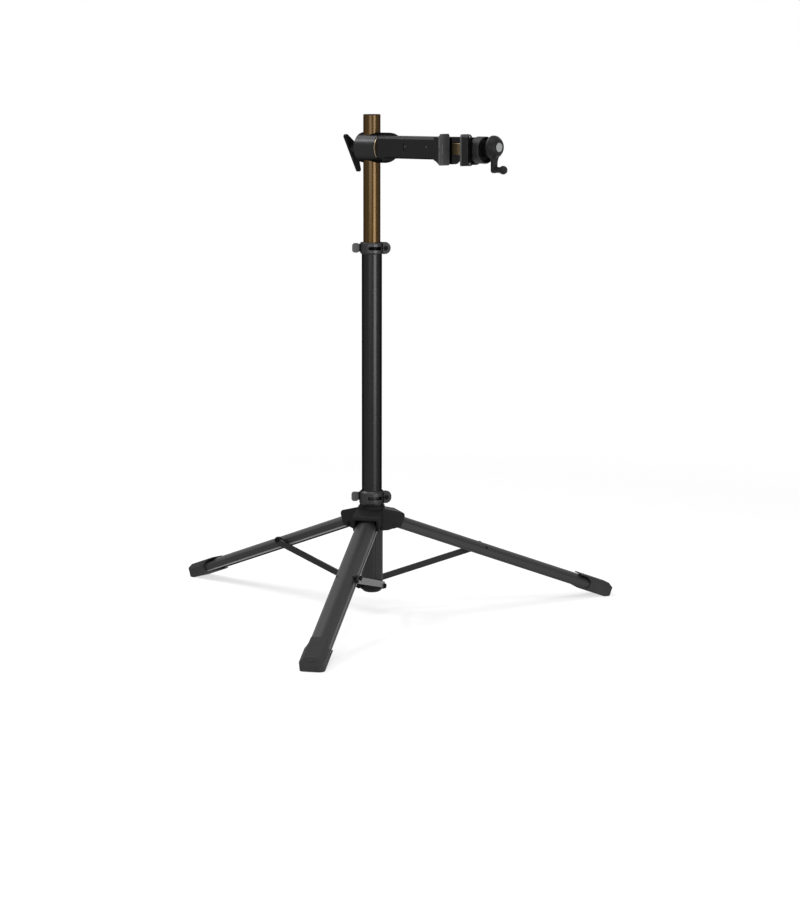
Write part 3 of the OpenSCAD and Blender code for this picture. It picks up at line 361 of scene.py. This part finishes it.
FINISHES = {
    name: make(name, *numbers)
    for name, make, *numbers in (
        # The column is painted nearly black from the clamp's floor upwards, as painted shade inside the
        # clamp
        ("column_black", black_anodising, (0.02, 0.02, 0.0204), 0.27, 0.25, COLUMN_CLAMP_FLOOR),
        ("mast_bronze", brushed_anodising, (0.042, 0.0218, 0.0038), (0.047, 0.0255, 0.0050), "Z", 0.3),
        ("rail_bronze", brushed_anodising, (0.19, 0.135, 0.07), (0.24, 0.17, 0.09), "X", 0.35),
        ("mast_cap_black", moulded_plastic, (0.018, 0.014, 0.01)),
        ("base_black", moulded_plastic, (0.0075, 0.0075, 0.0078), 0.5, 0.08),
        ("sleeve_black", moulded_plastic, (0.022, 0.022, 0.0225), 0.46),
        ("bush_black", moulded_plastic, (0.003, 0.003, 0.003), 0.4, 0.05),
        ("collar_grey", black_anodising, (0.037, 0.037, 0.038), 0.36, 0.4),
        ("lever_grey", black_anodising, (0.065, 0.065, 0.067), 0.5, 0.5),
        ("leg_grey", satin_paint, (0.0115, 0.0115, 0.0118), 0.44, 0.24),
        # Painted highlight: the legs' paint made far lighter, for the lower lips that light from the
        # right catches
        ("leg_lip", satin_paint, (0.2, 0.2, 0.202), 0.44, 0.24),
        ("strut_grey", satin_paint, (0.006, 0.006, 0.0062), 0.3, 0.17),
        ("foot_black", soft_rubber, (0.022, 0.022, 0.0225)),
        ("pin_steel", blackened_steel, (0.008, 0.008, 0.0085)),
        ("bright_steel", turned_metal, (0.5, 0.5, 0.51)),
        ("screw_steel", turned_metal, (0.16, 0.16, 0.165), 0.4),
        ("head_black", black_anodising, (0.03, 0.03, 0.031), 0.3, 0.3),
        ("arm_black", black_anodising, (0.021, 0.021, 0.0215), 0.32, 0.3),
        ("ring_brass", turned_metal, (0.40, 0.32, 0.21), 0.22),
        ("nut_brass", turned_metal, (0.45, 0.33, 0.13), 0.3),
        ("wing_black", moulded_plastic, (0.004, 0.004, 0.0043), 0.5, 0.06),
        ("pad_rubber", soft_rubber, (0.042, 0.042, 0.043)),
        ("drum_black", moulded_plastic, (0.019, 0.019, 0.0195), 0.48, 0.12),
        ("crank_black", moulded_plastic, (0.008, 0.008, 0.0083), 0.38, 0.12, 0.3, 2.5),
        ("cap_grey", moulded_plastic, (0.23, 0.232, 0.235), 0.35, 0.5, 0.2, 1.1),
    )
}

# Most solids wear the finish that their slot is named for
FINISH_OF = {
    **SLOT_OF,
    "slide_rail": "rail_bronze",
    "stop_sleeve": "sleeve_black",
    "jaw_screws": "screw_steel",
}


def paint(thing, finish):
    thing.data.materials.clear()
    thing.data.materials.append(FINISHES[finish].material)


# Mesh tools

def placed(name, data):
    """A new object in the scene."""
    thing = bpy.data.objects.new(name, data)
    bpy.context.scene.collection.objects.link(thing)
    return thing


def mesh_from(name, bm):
    mesh = bpy.data.meshes.new(name)
    bm.to_mesh(mesh)
    bm.free()
    return mesh


def add_piece(name, bm, body, finish):
    """Puts a mesh, built in the part's frame, on the body that carries it."""
    piece = placed(name, mesh_from(name, bm))
    piece.data.shade_smooth()
    piece.data.set_sharp_from_angle(angle=math.radians(34))
    paint(piece, finish)
    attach(piece, body)
    return piece


def stand_for(node, bm):
    """Puts a mesh in the place of a solid, with its finish and body."""
    piece = add_piece(node + "_skin", bm, BODY_OF[node], FINISH_OF[node])
    weighted = piece.modifiers.new("even_faces", "WEIGHTED_NORMAL")
    weighted.keep_sharp = True
    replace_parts(piece, node)


def facing(origin, axis):
    """A place at origin whose Z looks along axis."""
    return Matrix.Translation(origin) @ Vector(axis).to_track_quat("Z", "Y").to_matrix().to_4x4()


def along_arm(x, height=ARM_AXIS_HEIGHT):
    """A place at x over the arm's line whose Z looks along the arm, away from the column."""
    return facing((x, 0, height), (1, 0, 0))


def in_mm(*points):
    """Loops of (radius, height) that are given in millimetres."""
    return [(radius * MM, height * MM) for radius, height in points]


def skin(bm, rings):
    """Joins each ring of points to the next, and closes both ends."""
    for lower, upper in zip(rings, rings[1:]):
        for a in range(len(lower)):
            b = (a + 1) % len(lower)
            bm.faces.new((lower[a], lower[b], upper[b], upper[a]))
    bm.faces.new(list(reversed(rings[0])))
    bm.faces.new(rings[-1])


def turned(bm, loops, place, steps, extra_angles=()):
    """Skins loops of (radius, height) round Z. A radius is a number or a function of the angle."""
    angles = [math.tau * step / steps for step in range(steps)]
    angles = sorted(angles + [angle % math.tau for angle in extra_angles])
    rings = []
    for radius, height in loops:
        ring = []
        for angle in angles:
            r = radius(angle) if callable(radius) else radius
            ring.append(bm.verts.new(place @ Vector((r * math.cos(angle), r * math.sin(angle), height))))
        rings.append(ring)
    skin(bm, rings)


def hexagon(half_width):
    """The radius of a hexagonal socket, as a function of the angle."""
    return lambda angle: half_width / math.cos((angle + math.pi / 6) % (math.pi / 3) - math.pi / 6)


def socket_head(radius, height, socket, base=0.0):
    """Loops of a button head that stands at base, with a hexagon socket in its crown."""
    crown = 0.62 * radius
    side = 0.35 * height
    steps = 5
    loops = [(radius, base), (radius, base + side)]
    for turn in (math.pi / 2 * step / steps for step in range(1, steps + 1)):
        reach = crown + (radius - crown) * math.cos(turn)
        loops.append((reach, base + side + (height - side) * math.sin(turn)))
    return loops + [(hexagon(socket), base + height), (hexagon(socket), base + 0.4 * height)]


def cut_by(planes, radius=1.0):
    """The reach of a section from its middle. Each plane has a direction and a distance."""
    def reach(angle):
        slants = [(math.cos(angle - turn), distance) for turn, distance in planes]
        return min([distance / slant for slant, distance in slants if slant > 0.02] + [radius])
    return reach


def box_planes(side, top, low):
    return [(0.0, side), (math.pi, side), (math.pi / 2, top), (-math.pi / 2, low)]


def combined(bm, tool, operation):
    """Joins a second mesh to the first, or cuts it away, and gives the result."""
    things = [placed("blank", mesh_from("blank", source)) for source in (bm, tool)]
    modifier = things[0].modifiers.new("combined", "BOOLEAN")
    modifier.object = things[1]
    modifier.operation = operation
    modifier.solver = "EXACT"
    result = bmesh.new()
    result.from_object(things[0], bpy.context.evaluated_depsgraph_get())
    for thing in things:
        mesh = thing.data
        bpy.data.objects.remove(thing)
        bpy.data.meshes.remove(mesh)
    return result


# Solids with rounded edges

def flatter_bowl(bm):
    """Gives the bowl under the column a fuller corner and a slightly higher bottom."""
    old_round = 24 * MM
    new_round = 13 * MM
    lift = 1.5 * MM
    slack = 0.2 * MM
    middle = 0.1 * MM
    bottom = min(vert.co.z for vert in bm.verts)
    for vert in bm.verts:
        radius = math.hypot(vert.co.x, vert.co.y)
        inwards = max(0.0, radius - (BOWL_RADIUS - old_round))
        below = bottom + old_round - vert.co.z
        if below <= 0 or abs(math.hypot(inwards, below) - old_round) > slack or radius < middle:
            continue
        turn = math.atan2(below, inwards)
        wider = BOWL_RADIUS - new_round + new_round * math.cos(turn)
        vert.co.x *= wider / radius
        vert.co.y *= wider / radius
        vert.co.z = bottom + lift + new_round - new_round * math.sin(turn)


def rounded_copy(node, width, cutter=None):
    """A copy of a solid with its sharp edges rounded, which stands for the solid."""
    sharp = math.radians(30)
    bm = bmesh.new()
    bm.from_mesh(frame["nodes"][node].data)
    bmesh.ops.remove_doubles(bm, verts=bm.verts, dist=0.002 * MM)
    if node == "base_plug":
        flatter_bowl(bm)
    bmesh.ops.dissolve_limit(bm, angle_limit=math.radians(0.3), verts=bm.verts, edges=bm.edges)
    rim = bm.faces.layers.float.new("rim")
    edges = [edge for edge in bm.edges if len(edge.link_faces) == 2 and edge.calc_face_angle() > sharp]
    made = bmesh.ops.bevel(
        bm, geom=edges, offset=width, offset_type="OFFSET", segments=3, profile=0.5,
        affect="EDGES", clamp_overlap=True,
    )
    for face in made["faces"]:
        face[rim] = 1.0
    if cutter:
        bm = combined(bm, cutter, "DIFFERENCE")
    stand_for(node, bm)


def paint_lip_highlight(leg):
    """Paints a highlight on the lower lip on a leg's left, seen outwards from the hub: a far lighter grey
    that stands in for light falling from the right.
    """
    low, high = (Vector(corner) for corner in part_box(leg))
    middle = (low + high) / 2
    outwards = Vector((middle.x, middle.y, 0)).normalized()
    left = Vector((-outwards.y, outwards.x, 0))
    outside = 15 * MM
    upright = 0.9
    not_under = 0.1
    mesh = bpy.data.objects[leg + "_skin"].data
    mesh.materials.append(FINISHES["leg_lip"].material)
    bm = bmesh.new()
    bm.from_mesh(mesh)

    def wall(least):
        """Faces on the leg's left that look to the left by least or more."""
        beyond = [face for face in bm.faces if face.calc_center_median().dot(left) > outside]
        return [face for face in beyond if face.normal.dot(left) > least]

    edges = {edge for face in wall(upright) for edge in face.edges}
    verts = {vert for edge in edges for vert in edge.verts}
    longest = max(edges, key=lambda edge: edge.calc_length())
    along = (longest.verts[1].co - longest.verts[0].co).normalized()
    up = along.cross(left)
    up *= math.copysign(1.0, up.z)
    heights = [vert.co.dot(up) for vert in verts]
    level = min(heights) + LIP_HIGHLIGHT_SHARE * (max(heights) - min(heights))
    bmesh.ops.bisect_plane(bm, geom=[*verts, *edges, *wall(upright)], plane_co=level * up, plane_no=up)
    for face in wall(not_under):
        if face.calc_center_median().dot(up) < level:
            face.material_index = 1
    bm.to_mesh(mesh)
    bm.free()


# Every edge that a hand would feel is rounded, by so many millimetres
EDGE_WIDTHS = {
    0.5: [
        "stop_sleeve", "mast_cap", "thrust_washer", "column_pinch_bolt",
        "hub_pinch_bolt", "jaw_screws", "leg_pivot_pins", "slide_rail",
    ],
    0.7: [
        "leg_right", "leg_rear", "leg_front", "strut_right", "strut_rear", "strut_front",
        "column_collar", "hub_collar",
    ],
    1.2: ["column_qr_lever", "hub_qr_lever", "head_housing", "base_plug"],
    1.6: [
        "foot_right", "foot_rear", "foot_front", "wing_lever", "hub_body",
        "fixed_pad", "moving_pad",
    ],
}


def dress_solids():
    """Gives every solid its finish, and rounds the edges of those that show."""
    for node, solid in frame["nodes"].items():
        paint(solid, FINISH_OF[node])
    for width, nodes in EDGE_WIDTHS.items():
        for node in nodes:
            rounded_copy(node, width * MM)
    # Painted highlight on each leg's lower lip
    for leg in LEG_AZIMUTHS:
        paint_lip_highlight("leg_" + leg)


# Arm

def sink_recess(bm):
    """Sinks the shallow recess into the arm's face."""
    slack = 0.01 * MM

    def in_recess(point):
        return (
            abs(point.y + ARM_HALF_WIDTH) < slack
            and RECESS_X[0] - slack < point.x < RECESS_X[1] + slack
            and RECESS_Z[0] - slack < point.z - ARM_AXIS_HEIGHT < RECESS_Z[1] + slack
        )

    floor = [face for face in bm.faces if all(in_recess(vert.co) for vert in face.verts)]
    sunk = bmesh.ops.extrude_face_region(bm, geom=floor)["geom"]
    sunk_verts = [item for item in sunk if isinstance(item, bmesh.types.BMVert)]
    bmesh.ops.translate(bm, verts=sunk_verts, vec=(0, RECESS_DEPTH, 0))
    bmesh.ops.delete(bm, geom=floor, context="FACES")
    bmesh.ops.remove_doubles(bm, verts=bm.verts, dist=0.005 * MM)


def arm():
    """The arm: a round root with flat sides, a bevelled beam, a recess in its face, room for the rail."""
    low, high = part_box("arm_body")
    shoulder_start = ROOT_LENGTH - SHOULDER_LENGTH
    drop = ROOT_RADIUS - ARM_TOP
    shoulder_radius = (SHOULDER_LENGTH ** 2 + drop ** 2) / (2 * drop)
    under_radius = ROOT_RADIUS - ARM_LOW
    corners = [math.atan2(z, -ARM_HALF_WIDTH) for z in RECESS_Z]

    def root(x, inset=0.0):
        """The root's section at x, kept inset from its full size. Its corners are noted."""
        along = max(0.0, x - shoulder_start)
        top = ROOT_RADIUS - shoulder_radius + math.sqrt(shoulder_radius ** 2 - along ** 2)
        under = min(max(0.0, x - UNDER_START), under_radius)
        bottom = ROOT_RADIUS - under_radius + math.sqrt(under_radius ** 2 - under ** 2)
        for turn in (math.asin(top / ROOT_RADIUS), -math.asin(bottom / ROOT_RADIUS)):
            corners.extend([turn, math.pi - turn])
        planes = box_planes(ARM_HALF_WIDTH - inset, top - inset, bottom - inset)
        return cut_by(planes, ROOT_RADIUS - inset), low[0] + x

    slant = math.pi / 4
    top_bevel = (ARM_HALF_WIDTH + ARM_TOP - ARM_BEVEL) * math.sqrt(0.5)
    low_bevel = (ARM_HALF_WIDTH + ARM_LOW - ARM_BEVEL / 2) * math.sqrt(0.5)
    beam = cut_by(box_planes(ARM_HALF_WIDTH, ARM_TOP, ARM_LOW) + [
        (slant, top_bevel), (3 * slant, top_bevel), (-slant, low_bevel), (-3 * slant, low_bevel),
    ])
    room = cut_by(box_planes(RAIL_ROOM["side"], RAIL_ROOM["top"], RAIL_ROOM["low"]))
    edge_step = 0.3 * ROOT_EDGE
    shares = [step / 8 for step in range(9)]
    loops = [root(0.0, ROOT_EDGE), root(edge_step, edge_step), root(ROOT_EDGE)]
    loops += [root(UNDER_START + under_radius * math.sin(math.pi / 2 * share)) for share in shares]
    loops += [root(shoulder_start + SHOULDER_LENGTH * share) for share in shares]
    loops += [(beam, x) for x in (low[0] + ROOT_LENGTH + 0.3 * MM, *RECESS_X, high[0])]
    loops += [(room, high[0]), (room, high[0] - RAIL_ROOM["depth"])]
    bm = bmesh.new()
    turned(bm, loops, along_arm(0), 180, corners)
    sink_recess(bm)
    stand_for("arm_body", bm)


def friction_ring():
    """The brass ring between head and arm, a little below their round faces."""
    low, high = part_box("friction_ring")
    width = high[0] - low[0]
    radius = ROOT_RADIUS - RING_SUNK
    bore = radius - RING_DEPTH
    edge = 0.4 * MM
    edge_step = 0.3 * edge
    loops = [
        (bore, 0.0), (radius - edge, 0.0), (radius - edge_step, edge_step), (radius, edge),
        (radius, width - edge), (radius - edge_step, width - edge_step), (radius - edge, width),
        (bore, width),
    ]
    bm = bmesh.new()
    turned(bm, loops, along_arm(low[0]), 128)
    stand_for("friction_ring", bm)


def recess_screws():
    """Two small screws at the ends of the recess in the arm's face."""
    head_height = 1.2 * MM
    shank = [(1.6 * MM, -head_height)]
    head = socket_head(2.4 * MM, head_height, 1.0 * MM)
    bm = bmesh.new()
    for x in RECESS_SCREWS_X:
        seat = (x, 1.4 * MM - ARM_HALF_WIDTH, ARM_AXIS_HEIGHT + RECESS_SCREWS_Z)
        turned(bm, shank + head, facing(seat, (0, -1, 0)), 24)
    add_piece("recess_screws", bm, BODY_OF["arm_body"], "lever_grey")


# Clamp

def drum_start():
    """Where the drum begins: it reaches forward beside the plate of the moving jaw."""
    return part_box("moving_jaw")[1][0] - DRUM_OVERLAP


def moving_jaw():
    """The moving jaw, cut back behind its upright plate to take the drum."""
    low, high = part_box("moving_jaw")
    room = 20 * MM
    play = 0.3 * MM
    sides = [
        (drum_start(), high[0] + room),
        (PLATE_INNER_FACE, high[1] + room),
        (low[2] - room, high[2] + room),
    ]
    cutter = bmesh.new()
    bmesh.ops.create_cube(cutter, size=1.0)
    for vert in cutter.verts:
        vert.co = Vector([side[1] if value > 0 else side[0] for side, value in zip(sides, vert.co)])
    radius = DRUM_RADIUS + play
    scallop = bmesh.new()
    loops = [(radius, drum_start() - 0.01 * MM), (radius, high[0] + room + 1 * MM)]
    turned(scallop, loops, along_arm(0), 96)
    rounded_copy("moving_jaw", 1.2 * MM, combined(cutter, scallop, "UNION"))


def drum():
    """The drum with its rim, and the black bearing in its end that the screw runs through."""
    radius = DRUM_RADIUS
    end = DRUM_LENGTH
    back = 7 * MM
    back_in = 3 * MM
    rim = 2.2 * MM
    floor = end - 8 * MM
    shell = [
        (DRUM_BORE, 0.0), (radius - back_in - 0.8 * MM, 0.0), (radius - back_in - 0.2 * MM, 0.3 * MM),
        (radius - 0.25 * MM, back - 0.6 * MM), (radius, back + 0.4 * MM), (radius, end - 1.2 * MM),
        (radius - 0.35 * MM, end - 0.35 * MM), (radius - 1.2 * MM, end), (radius - rim, end - 0.3 * MM),
        (radius - rim, floor), (DRUM_BORE, floor),
    ]
    place = along_arm(drum_start())
    bm = bmesh.new()
    turned(bm, shell, place, 96)
    stand_for("drum_housing", bm)
    liner = radius - rim - 0.1 * MM
    wall = 0.7 * MM
    neck = 13 * MM
    fillet = 2 * MM
    chamfer = 0.6 * MM
    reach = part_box("thrust_washer")[0][0] - drum_start()
    bearing = [
        (liner, floor + 0.1 * MM), (liner, end - 1 * MM), (liner - wall, end - 1 * MM),
        (liner - wall, floor + wall), (neck + fillet, floor + wall), (neck, floor + wall + fillet),
        (neck, reach - chamfer), (neck - chamfer, reach),
    ]
    bm = bmesh.new()
    turned(bm, bearing, place, 96)
    add_piece("drum_bearing", bm, BODY_OF["drum_housing"], "bush_black")


def crank_link(place):
    """The crank's arm: sides that flare into the dome, a round tip and rounded edges."""
    edge = 1.4 * MM
    flare = 14.5 * MM
    flare_top = -10 * MM
    flare_length = 24 * MM
    shares = [step / 16 for step in range(17)]

    def outline(inset):
        side = []
        for share in shares:
            half_width = CRANK_TIP_RADIUS + flare * (1 - share) ** 2
            side.append((half_width - inset, flare_top - flare_length * share))
        radius = CRANK_TIP_RADIUS - inset
        tip = []
        for turn in (math.pi * share for share in shares[1:-1]):
            tip.append((radius * math.cos(turn), -CRANK_THROW - radius * math.sin(turn)))
        return [(-y, z) for y, z in side] + list(reversed(tip)) + list(reversed(side))

    turns = [math.pi / 2 * step / 3 for step in range(4)]
    layers = [(edge * (1 - math.sin(turn)), edge * (1 - math.cos(turn))) for turn in turns]
    layers += [(inset, CRANK_THICKNESS - x) for inset, x in reversed(layers)]
    link = bmesh.new()
    rings = []
    for inset, x in layers:
        rings.append([link.verts.new(place @ Vector((y, z, x))) for y, z in outline(inset)])
    skin(link, rings)
    bmesh.ops.recalc_face_normals(link, faces=link.faces)
    return link


def crank():
    """The crank: a domed root, an arm that narrows downwards, and the grey cap in the dome."""
    neck_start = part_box("crank_arm")[0][0] - CRANK_START
    dome = [(CRANK_NECK_RADIUS, neck_start), (CRANK_NECK_RADIUS, 0.0)] + in_mm(
        (23, 0), (24.1, 0.4), (24.5, 1.5), (24.5, 4.5), (23.9, 7.5), (22.6, 10.2), (20.8, 12.8),
        (18.4, 15.4), (16.4, 17.2), (15, 17.8), (13.4, 18), (9.9, 18), (9.9, 16.2),
    )
    place = along_arm(CRANK_START, CRANK_AXIS_HEIGHT)
    bm = bmesh.new()
    turned(bm, dome, place, 96)
    stand_for("crank_arm", combined(bm, crank_link(place), "UNION"))
    cap = in_mm((9.6, 16.2), (9.6, 18.2), (9.3, 18.6), (8.8, 18.8), (5, 19), (1, 19.05))
    bm = bmesh.new()
    turned(bm, cap, place, 64)
    stand_for("crank_cap", bm)


def threaded_screw():
    """The lead screw with its coarse thread, and a plain end that the crank holds."""
    low, high = (Vector(corner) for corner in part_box("lead_screw"))
    length = high.x - low.x
    threaded = length - PLAIN_END
    steepness = 2.2
    crest = 0.5
    count = 190

    def groove(height):
        def radius(angle):
            phase = (height / THREAD_LEAD * THREAD_STARTS - angle / math.tau * THREAD_STARTS) % 1.0
            depth = steepness * (1 - 2 * abs(phase - 0.5)) - crest
            return THREAD_RADIUS - THREAD_DEPTH * min(1.0, max(0.0, depth))
        return radius

    heights = [threaded * step / count for step in range(2, count + 1)]
    loops = [(THREAD_RADIUS - THREAD_DEPTH, 0.0)]
    loops += [(groove(height), height) for height in heights]
    loops += [(THREAD_RADIUS, threaded + 0.5 * MM), (THREAD_RADIUS, length)]
    bm = bmesh.new()
    turned(bm, loops, facing((low.x, (low.y + high.y) / 2, (low.z + high.z) / 2), (1, 0, 0)), 32)
    node = "lead_screw"
    screw = add_piece("lead_screw_thread", bm, BODY_OF[node], "bright_steel")
    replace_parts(screw, node)


# Struts

def strut_bolts():
    """Socketed bolts at both ends of each strut, with a shoulder washer between leg and strut."""
    head = socket_head(5.6 * MM, BOLT_END - STRUT_OUTER_FACE, 2.2 * MM, STRUT_OUTER_FACE)
    shank_end = (BOLT_RADIUS, STRUT_OUTER_FACE - 0.1 * MM)
    shank = [(BOLT_RADIUS, 14 * MM), shank_end]
    washer_radius = 6.4 * MM
    washer_face = 5.8 * MM
    washer = [
        (BOLT_RADIUS, -20 * MM), (BOLT_RADIUS, LEG_HALF_WIDTH), (washer_face, LEG_HALF_WIDTH + 0.1 * MM),
        (washer_radius, LEG_HALF_WIDTH + 0.6 * MM), (washer_radius, STRUT_INNER_FACE - 0.9 * MM),
        (washer_face, STRUT_INNER_FACE - 0.4 * MM), (BOLT_RADIUS, STRUT_INNER_FACE - 0.3 * MM),
        shank_end,
    ]
    feet = bmesh.new()
    for leg, azimuth in LEG_AZIMUTHS.items():
        turn = math.radians(azimuth)
        outwards = Vector((math.cos(turn), math.sin(turn), 0))
        across = Vector((-math.sin(turn), math.cos(turn), 0))
        foot = PLUG_PIVOT_RADIUS * outwards + Vector((0, 0, PLUG_PIVOT_HEIGHT))
        turned(feet, shank + head, facing(foot, across), 36)
        node = "strut_pin_" + leg
        low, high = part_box(node)
        middle = (Vector(low) + Vector(high)) / 2 - across * (BOLT_END - LEG_HALF_WIDTH) / 2
        bm = bmesh.new()
        turned(bm, washer + head, facing(middle, across), 36)
        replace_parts(add_piece(node + "_bolt", bm, BODY_OF[node], "pin_steel"), node)
    node = "strut_foot_pins"
    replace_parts(add_piece("strut_foot_bolts", feet, BODY_OF[node], "pin_steel"), node)


# Stage

def round_column(azimuth, distance, height):
    """A point at a distance from the column's axis, azimuth degrees round from -Y towards +X."""
    turn = math.radians(azimuth)
    return Vector((distance * math.sin(turn), -distance * math.cos(turn), height))


def make_camera():
    """A camera at the photograph's place, framed on the column."""
    data = bpy.data.cameras.new("camera")
    data.lens = CAMERA_LENS
    data.sensor_width = SENSOR
    data.shift_x = (PHOTO_SIZE[0] / 2 - COLUMN_PIXEL) / max(PHOTO_SIZE)
    camera = placed("camera", data)
    camera.location = round_column(CAMERA_AZIMUTH, CAMERA_DISTANCE, CAMERA_HEIGHT)
    camera.rotation_euler = (math.radians(90 - CAMERA_DIP), 0, math.radians(CAMERA_AZIMUTH))
    bpy.context.scene.camera = camera


class WorldLight(Finish):
    """The world's node tree, in the same terms as a finish."""

    def __init__(self, name):
        self.start(bpy.data.worlds.new(name), "Background")

    def seen(self):
        """1 for rays that show the background itself, mirror it or pass through to it."""
        rays = ("Is Camera Ray", "Is Glossy Ray", "Is Transmission Ray")
        direct, mirrored, through = (self.node("ShaderNodeLightPath", output=ray) for ray in rays)
        return (direct + mirrored + through).clamped()


def make_world():
    """White where it is seen, and a plain soft fill for everything that it lights."""
    world = WorldLight("studio")
    world.set(color=WHITE, strength=WORLD_FILL + (1.0 - WORLD_FILL) * world.seen())
    bpy.context.scene.world = world.material


def make_floor():
    """A pale floor that takes the stand's soft shadow and fades into the background."""
    bm = bmesh.new()
    bmesh.ops.create_circle(bm, cap_ends=True, radius=FLOOR_RADIUS, segments=96)
    floor = placed("floor", mesh_from("floor", bm))
    finish = Finish("floor_white", roughness=0.9, specular_ior_level=0.0)
    inputs = {0: finish.place()}
    distance = finish.node("ShaderNodeVectorMath", {"operation": "LENGTH"}, inputs, output="Value")
    finish.set(
        base_color=FLOOR_COLOUR,
        emission_color=WHITE,
        emission_strength=FLOOR_GLOW,
        alpha=1.0 - distance.smooth(FLOOR_FADE_START, FLOOR_RADIUS),
    )
    floor.data.materials.append(finish.material)


def make_lamps():
    """Soft lamps round the stand, which the camera doesn't see."""
    for name, (azimuth, height, distance, size, power, aim) in LAMPS.items():
        data = bpy.data.lights.new(name, "AREA")
        data.shape = "RECTANGLE"
        data.size, data.size_y = size
        data.energy = power
        lamp = placed(name, data)
        lamp.location = round_column(CAMERA_AZIMUTH + azimuth, distance, height)
        towards = Vector((0, 0, aim)) - lamp.location
        lamp.rotation_euler = towards.to_track_quat("-Z", "Y").to_euler()
        lamp.visible_camera = False


bpy.context.scene.view_settings.view_transform = "Standard"
make_camera()
make_floor()
make_world()
make_lamps()
dress_solids()
arm()
friction_ring()
moving_jaw()
drum()
crank()
strut_bolts()
threaded_screw()
recess_screws()
